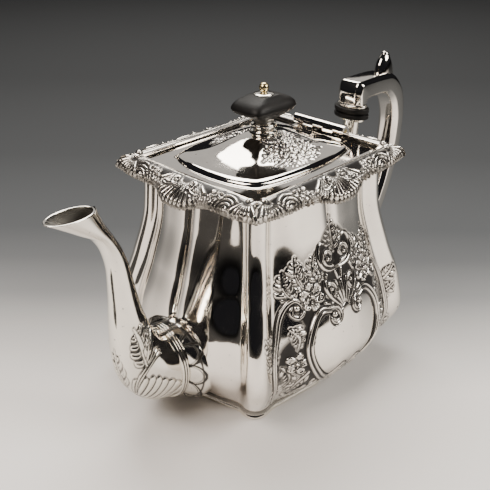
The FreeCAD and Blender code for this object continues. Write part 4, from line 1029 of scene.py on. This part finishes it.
def make_cuff():
    """Reeded ring between spout and flange."""
    angles = np.linspace(0, 2 * math.pi, 160, endpoint=False)
    profile = [(0.0, 0.0), (0.02, 0.7), (0.10, 1.15), (0.2, 1.2), (0.28, 0.75), (0.33, 0.75),
               (0.42, 1.3), (0.5, 1.4), (0.58, 1.3), (0.66, 0.75), (0.72, 0.75), (0.8, 1.25),
               (0.9, 1.4), (0.97, 1.0), (1.0, 0.5)]
    rows = [ring_grid([(-77 + 4 * share, 51.0, -77 + 4 * share, 10.6, 17.0)], angles, -proud)[0]
            for share, proud in profile]
    dark = np.zeros((len(profile), len(angles)))
    for row in (4, 5, 9, 10):
        dark[row] = 0.8
    build("reeded_cuff", [Patch(np.array(rows), dark, True)], WORN, replaces=["spout_cuff"])


def flange_ornament():
    """Engraved scallops round the flange, drawn from its front."""
    relief = Relief((-32, -30), (32, 30), 0.2)
    for step in range(10):
        angle = math.radians(-90 + 36 * step + 18)
        centre = np.array([19.5 * math.cos(angle), 17.5 * math.sin(angle)])
        out = math.atan2(centre[1], centre[0])
        turn = out + np.radians(np.linspace(-115, 115, 16))
        curve = centre + 5.8 * np.stack([np.cos(turn), np.sin(turn)], axis=1)
        relief.ridge(curve, 0.30, -0.22, "flat", groove=-0.02)
        relief.ridge(centre + (curve - centre) * 0.82, 0.2, -0.12, "flat", groove=-0.02)
    relief.height = blur(relief.height, 1)
    relief.dark = np.clip(-relief.height * 5.0, 0, 1)
    return relief


SOLDER_DEPTH = 0.7


def end_wall_x(y, z):
    """Where the outside of the spout's end wall is, at a width and a height."""
    heights, widths = np.linspace(5, 60, 80), np.linspace(-30, 30, 121)
    wall = wall_grid(heights, False, -1, 60)
    table = np.array([np.interp(widths, row[:, 1], row[:, 0]) for row in wall])
    row = np.interp(z, heights, np.arange(80))
    column = np.interp(y, widths, np.arange(121))
    low_row = np.minimum(row.astype(int), 78)
    low_column = np.minimum(column.astype(int), 119)
    up, over = row - low_row, column - low_column
    lower = table[low_row, low_column] * (1 - over) + table[low_row, low_column + 1] * over
    upper = (table[low_row + 1, low_column] * (1 - over)
             + table[low_row + 1, low_column + 1] * over)
    return lower * (1 - up) + upper * up


def make_flange():
    """Domed shield between the cuff and the end wall."""
    angles = np.linspace(0, 2 * math.pi, 240, endpoint=False)
    rows = blend_rows(FLANGE, np.linspace(0, 4, 90))
    points = ring_grid(rows, angles)
    relief = flange_ornament()
    centre = np.array([0.0, 29.5])
    height, dark = relief.read(points[..., 1] - centre[0], points[..., 2] - centre[1])
    edge = np.linspace(0, 4, 90)[:, None]
    border = np.exp(-((edge - 2.1) / 0.35) ** 2) * 0.5
    dark = np.maximum(dark, 0.6 * np.exp(-((edge - 1.62) / 0.1) ** 2))
    # painted shade: darker where the shield runs into the end wall
    dark = np.maximum(dark, 0.7 * np.clip(edge - 3.0, 0, 1))
    patch = raised(points, points - np.array([-55.0, 0, 29.5]), (height + border, dark), True)
    # the shield ends within the thickness of the wall it is soldered to
    past = patch.points[..., 0] - end_wall_x(patch.points[..., 1], patch.points[..., 2])
    sunk = SOLDER_DEPTH * np.tanh(past / 6)
    patch.points[..., 0] += np.where(past > 0, sunk - past, 0)
    build("spout_shield", [patch], WORN, replaces=["spout_flange"])


# ----------------------------------------------------------- handle and mounts
HANDLE = [(71.2, 134.4, 81.2, 134.4, 17.0, 3.0), (71.2, 140.8, 82.2, 136.2, 16.8, 2.8),
          (74.4, 147.8, 84.6, 136.4, 16.4, 2.4), (90.0, 148.2, 92.4, 136.4, 15.4, 2.2),
          (104.5, 147.4, 101.6, 135.6, 14.8, 2.2), (115.6, 141.4, 106.8, 132.4, 14.6, 2.4),
          (122.0, 131.4, 110.8, 126.4, 14.4, 2.6), (124.6, 116.0, 113.0, 115.2, 14.2, 2.8),
          (123.2, 97.0, 111.8, 99.6, 14.0, 2.8), (118.0, 77.0, 107.4, 82.6, 13.8, 2.8),
          (109.4, 58.6, 100.6, 67.0, 14.0, 2.8), (99.4, 44.6, 94.4, 55.6, 14.8, 2.8),
          (89.6, 39.8, 89.6, 50.2, 16.0, 3.0)]
REST = [(98.6, 146.0, 115.0, 140.6, 4.8), (99.6, 151.0, 113.6, 146.6, 4.4),
        (101.6, 155.0, 111.8, 151.4, 3.8), (104.2, 158.0, 109.6, 156.0, 2.4)]


def make_handle():
    """Hollow silver C-handle: a chamfered bar that swells at its ends."""
    places = np.linspace(0, 12, 145)
    rows = []
    for ox, oz, ix, iz, width, chamfer in blend_rows(HANDLE, places):
        deep = math.dist((ox, oz), (ix, iz)) / 2
        wide = width / 2
        corners = [(deep, -wide + chamfer), (deep, wide - chamfer), (deep - chamfer, wide),
                   (-deep + chamfer, wide), (-deep, wide - chamfer), (-deep, -wide + chamfer),
                   (-deep + chamfer, -wide), (deep - chamfer, -wide)]
        section = np.array(softened(corners, 0.9, 4, closed=True))
        way = np.array([ox - ix, oz - iz]) / (2 * deep)
        middle = np.array([ox + ix, oz + iz]) / 2
        rows.append(np.stack([middle[0] + way[0] * section[:, 0], section[:, 1],
                              middle[1] + way[1] * section[:, 0]], axis=1))
    rows = np.array(rows)
    ends = [rows[0].mean(axis=0) + (rows[0] - rows[0].mean(axis=0)) * share
            for share in (0.4, 0.9, 0.98)]
    close = [rows[-1].mean(axis=0) + (rows[-1] - rows[-1].mean(axis=0)) * share
             for share in (0.98, 0.9, 0.4)]
    rows[0] = rows[0].mean(axis=0) + (rows[0] - rows[0].mean(axis=0)) * 0.985
    build("hollow_handle", [Patch(np.concatenate([ends, rows, close]), wrap=True)], POLISHED,
          replaces=["handle"])


def make_rest():
    """Thumb rest that grows out of the handle's shoulder, with a rounded tip."""
    angles = np.linspace(0, 2 * math.pi, 64, endpoint=False)
    rows = blend_rows(REST, np.linspace(0, 3, 24))
    rings = [ring for ring in ring_grid(rows, angles)]
    centre = np.array([106.8, 0.0, 156.8])
    top = rings[-1]
    for step in np.linspace(0.12, 1, 9):
        lift = math.sin(step * math.pi / 2)
        ring = centre + (top - top.mean(axis=0)) * math.cos(step * math.pi / 2)
        ring = ring + (top.mean(axis=0) - centre) * (1 - lift)
        ring[:, 2] += 2.3 * lift
        rings.append(ring)
    build("thumb_spur", [Patch(np.array(rings), wrap=True)], POLISHED, replaces=["thumb_rest"])


def oval_tube(profile, centre, along, long_radius, short_radius, count=72):
    """Oval rings stacked along +Z or +X: profile rows are (added radius, height)."""
    patch = turned(profile, long_radius, short_radius, count=count)
    points = patch.points
    if along == "x":
        # the height runs along X, the short axis along Z
        points = np.stack([points[..., 2], points[..., 1], points[..., 0]], axis=2)
    return points + np.asarray(centre, float)


def make_mount(prefix, centre, along, insulator, handle_side, socket_side):
    """Insulator, its two collars, one above another on the mount's axis."""
    low, high = insulator
    third = (high - low) / 2.5
    disc = softened([(-9, low), (0, low), (0, low + third), (-1.5, low + third),
                     (-1.5, high - third), (0, high - third), (0, high), (-9, high)], 0.45)
    points = oval_tube(disc, centre, along, 11.2, 7.25)
    build(prefix + "_insulator_rings", [Patch(points, wrap=True)], EBONY,
          replaces=[prefix + "_insulator"])
    for label, (start, end), size in (("handle_collar", handle_side, (9.6, 5.75)),
                                      ("socket_collar", socket_side, (8.6, 4.85))):
        a, b = sorted((start, end))
        ring = softened([(-7, a), (0, a), (0, b), (-7, b)], 0.5)
        points = oval_tube(ring, centre, along, *size)
        build(prefix + "_" + label + "_ring", [Patch(points, wrap=True)], WORN,
              replaces=[prefix + "_" + label])


# ---------------------------------------------------------- carried-over parts
CARRIED = {"base_plate": INSIDE, "mouth_plate": WORN, "rim_wire": POLISHED, "lid_bezel": INSIDE,
           "lid_hinge_leaf": POLISHED, "body_hinge_leaf": POLISHED, "hinge_pin": BRASS,
           "finial_nut": BRASS, "insulator_pins": BRASS, "upper_socket": WORN,
           "lower_socket": WORN}


def dress_carried():
    for node, material in CARRIED.items():
        thing = bpy.data.objects.get(node)
        if thing is not None:
            thing.data.materials.clear()
            thing.data.materials.append(material)


# ------------------------------------------------------------------- setting
def backdrop_material():
    """Paper sweep, pale at the front and graduated to dark grey behind: painted shade standing in for
    the lamps' falloff.
    """
    material, tree, shader = new_material("sweep_paper_painted_falloff")
    place = tree.nodes.new("ShaderNodeTexCoord")
    split = tree.nodes.new("ShaderNodeVectorMath")
    split.operation = "DOT_PRODUCT"
    split.inputs[1].default_value = AWAY
    tree.links.new(place.outputs["Object"], split.inputs[0])
    ramp = tree.nodes.new("ShaderNodeValToRGB")
    scaled = tree.nodes.new("ShaderNodeMapRange")
    scaled.inputs["From Min"].default_value = GRADING_FROM
    scaled.inputs["From Max"].default_value = GRADING_TO
    tree.links.new(split.outputs["Value"], scaled.inputs["Value"])
    tree.links.new(scaled.outputs["Result"], ramp.inputs["Fac"])
    for element, stop_index in ((0, 0), (1, -1)):
        ramp.color_ramp.elements[element].position = SWEEP_SHADE_STOPS[stop_index][0]
        ramp.color_ramp.elements[element].color = SWEEP_SHADE_STOPS[stop_index][1]
    for position, colour in SWEEP_SHADE_STOPS[1:-1]:
        ramp.color_ramp.elements.new(position).color = colour
    tree.links.new(ramp.outputs["Color"], shader.inputs["Base Color"])
    shader.inputs["Roughness"].default_value = 0.85
    bump = tree.nodes.new("ShaderNodeBump")
    bump.inputs["Strength"].default_value = 0.05
    tree.links.new(noise(tree, 300), bump.inputs["Height"])
    tree.links.new(bump.outputs["Normal"], shader.inputs["Normal"])
    return material


AWAY = (0.7387, 0.674, 0.0)
ACROSS = (0.674, -0.7387, 0.0)
GRADING_FROM, GRADING_TO, GRADING_LENGTH = -0.20, 1.20, 1.40


def grey(value, warm=1.0):
    return (value * warm, value, value / warm, 1)


def stop(ground_mm, value, warm=1.0):
    return ((ground_mm / 1000 - GRADING_FROM) / GRADING_LENGTH, grey(value, warm))


# painted shade and warmth: pale and warm at the front, near-black and cool behind, as the lamps' falloff
# would make it
SWEEP_SHADE_STOPS = [stop(-150, 0.88, 1.04), stop(-40, 0.76, 1.035), stop(20, 0.46, 1.02),
               stop(60, 0.23, 0.99), stop(110, 0.115, 0.965), stop(160, 0.070, 0.94),
               stop(320, 0.038, 0.93), stop(600, 0.026, 0.93), stop(1150, 0.040, 0.95)]


TABLE_REACH, TABLE_DROP = 6.0, -0.002


def make_floor():
    """Paper under the pot with painted shade graded into it, notched in front, with a dark table round
    it.

    The silver reflects both: the notch and the table make its dark streaks.
    """
    mesh = bpy.data.meshes.new("sweep")
    away, across = Vector(AWAY), Vector(ACROSS)
    corners = [across * side + away * along
               for side, along in ((-2.4, 2.6), (-1.3, -0.10), (-0.30, -0.122), (-0.16, -0.135),
                                   (-0.20, -0.24), (-0.12, -0.46), (1.3, -0.46), (2.4, 2.6))]
    mesh.from_pydata(corners, [], [tuple(range(len(corners)))])
    mesh.materials.append(backdrop_material())
    floor = bpy.data.objects.new("sweep", mesh)
    bpy.context.scene.collection.objects.link(floor)
    under = bpy.data.meshes.new("table")
    under.from_pydata([(x, y, TABLE_DROP)
                       for x, y in ((-TABLE_REACH, -TABLE_REACH), (TABLE_REACH, -TABLE_REACH),
                                    (TABLE_REACH, TABLE_REACH), (-TABLE_REACH, TABLE_REACH))],
                      [], [(0, 1, 2, 3)])
    material, _, shader = new_material("dark_table")
    shader.inputs["Base Color"].default_value = (0.010, 0.010, 0.010, 1)
    shader.inputs["Roughness"].default_value = 0.9
    under.materials.append(material)
    table = bpy.data.objects.new("table", under)
    bpy.context.scene.collection.objects.link(table)


def soft_light(name, position, target, size, power, colour=(1, 1, 1)):
    data = bpy.data.lights.new(name, "AREA")
    data.shape = "RECTANGLE"
    data.size, data.size_y = size
    data.energy = power
    data.color = colour
    light = bpy.data.objects.new(name, data)
    light.location = position
    light.rotation_euler = (Vector(target) - Vector(position)).to_track_quat("-Z", "Y").to_euler()
    bpy.context.scene.collection.objects.link(light)
    return light


def make_lights():
    middle = (0, 0, 0.08)
    soft_light("high_behind", (0.39, 0.46, 1.04), middle, (0.9, 0.6), 18, (1.0, 0.965, 0.91))
    soft_light("high_right", (0.38, -0.66, 0.64), middle, (0.5, 0.45), 8, (1.0, 0.955, 0.89))
    soft_light("high_left", (-0.63, 0.11, 0.77), middle, (0.45, 0.45), 7, (1.0, 0.90, 0.82))
    soft_light("card_behind", (0.83, 0.83, 0.76), middle, (1.7, 0.55), 1.6, (1.0, 0.97, 0.93))
    world = bpy.data.worlds.new("studio")
    bpy.context.scene.world = world
    world.use_nodes = True
    shade = world.node_tree.nodes["Background"]
    shade.inputs["Color"].default_value = (0.012, 0.012, 0.014, 1)
    shade.inputs["Strength"].default_value = 1.0


LENS_MM, SENSOR_MM = 55.1, 36.0
CAMERA_PLACE = (-0.2738, -0.2498, 0.2640)
CAMERA_AIM = (0.6385, 0.6134, -0.4648)


def make_camera():
    data = bpy.data.cameras.new("camera")
    data.lens = LENS_MM
    data.sensor_width = SENSOR_MM
    camera = bpy.data.objects.new("camera", data)
    camera.location = CAMERA_PLACE
    camera.rotation_euler = Vector(CAMERA_AIM).to_track_quat("-Z", "Y").to_euler()
    bpy.context.scene.collection.objects.link(camera)
    bpy.context.scene.camera = camera


make_walls()
make_lining()
make_foot()
make_gallery()
make_lid()
make_finial()
make_knob()
make_spout()
make_cuff()
make_flange()
make_handle()
make_rest()
make_mount("upper", (76.2, 0, 0), "z", (126.4, 132.4), (132.4, 134.4), (124.4, 126.4))
make_mount("lower", (0, 0, 45.0), "x", (81.6, 87.6), (87.6, 89.6), (79.6, 81.6))
dress_carried()
make_floor()
make_lights()
make_camera()
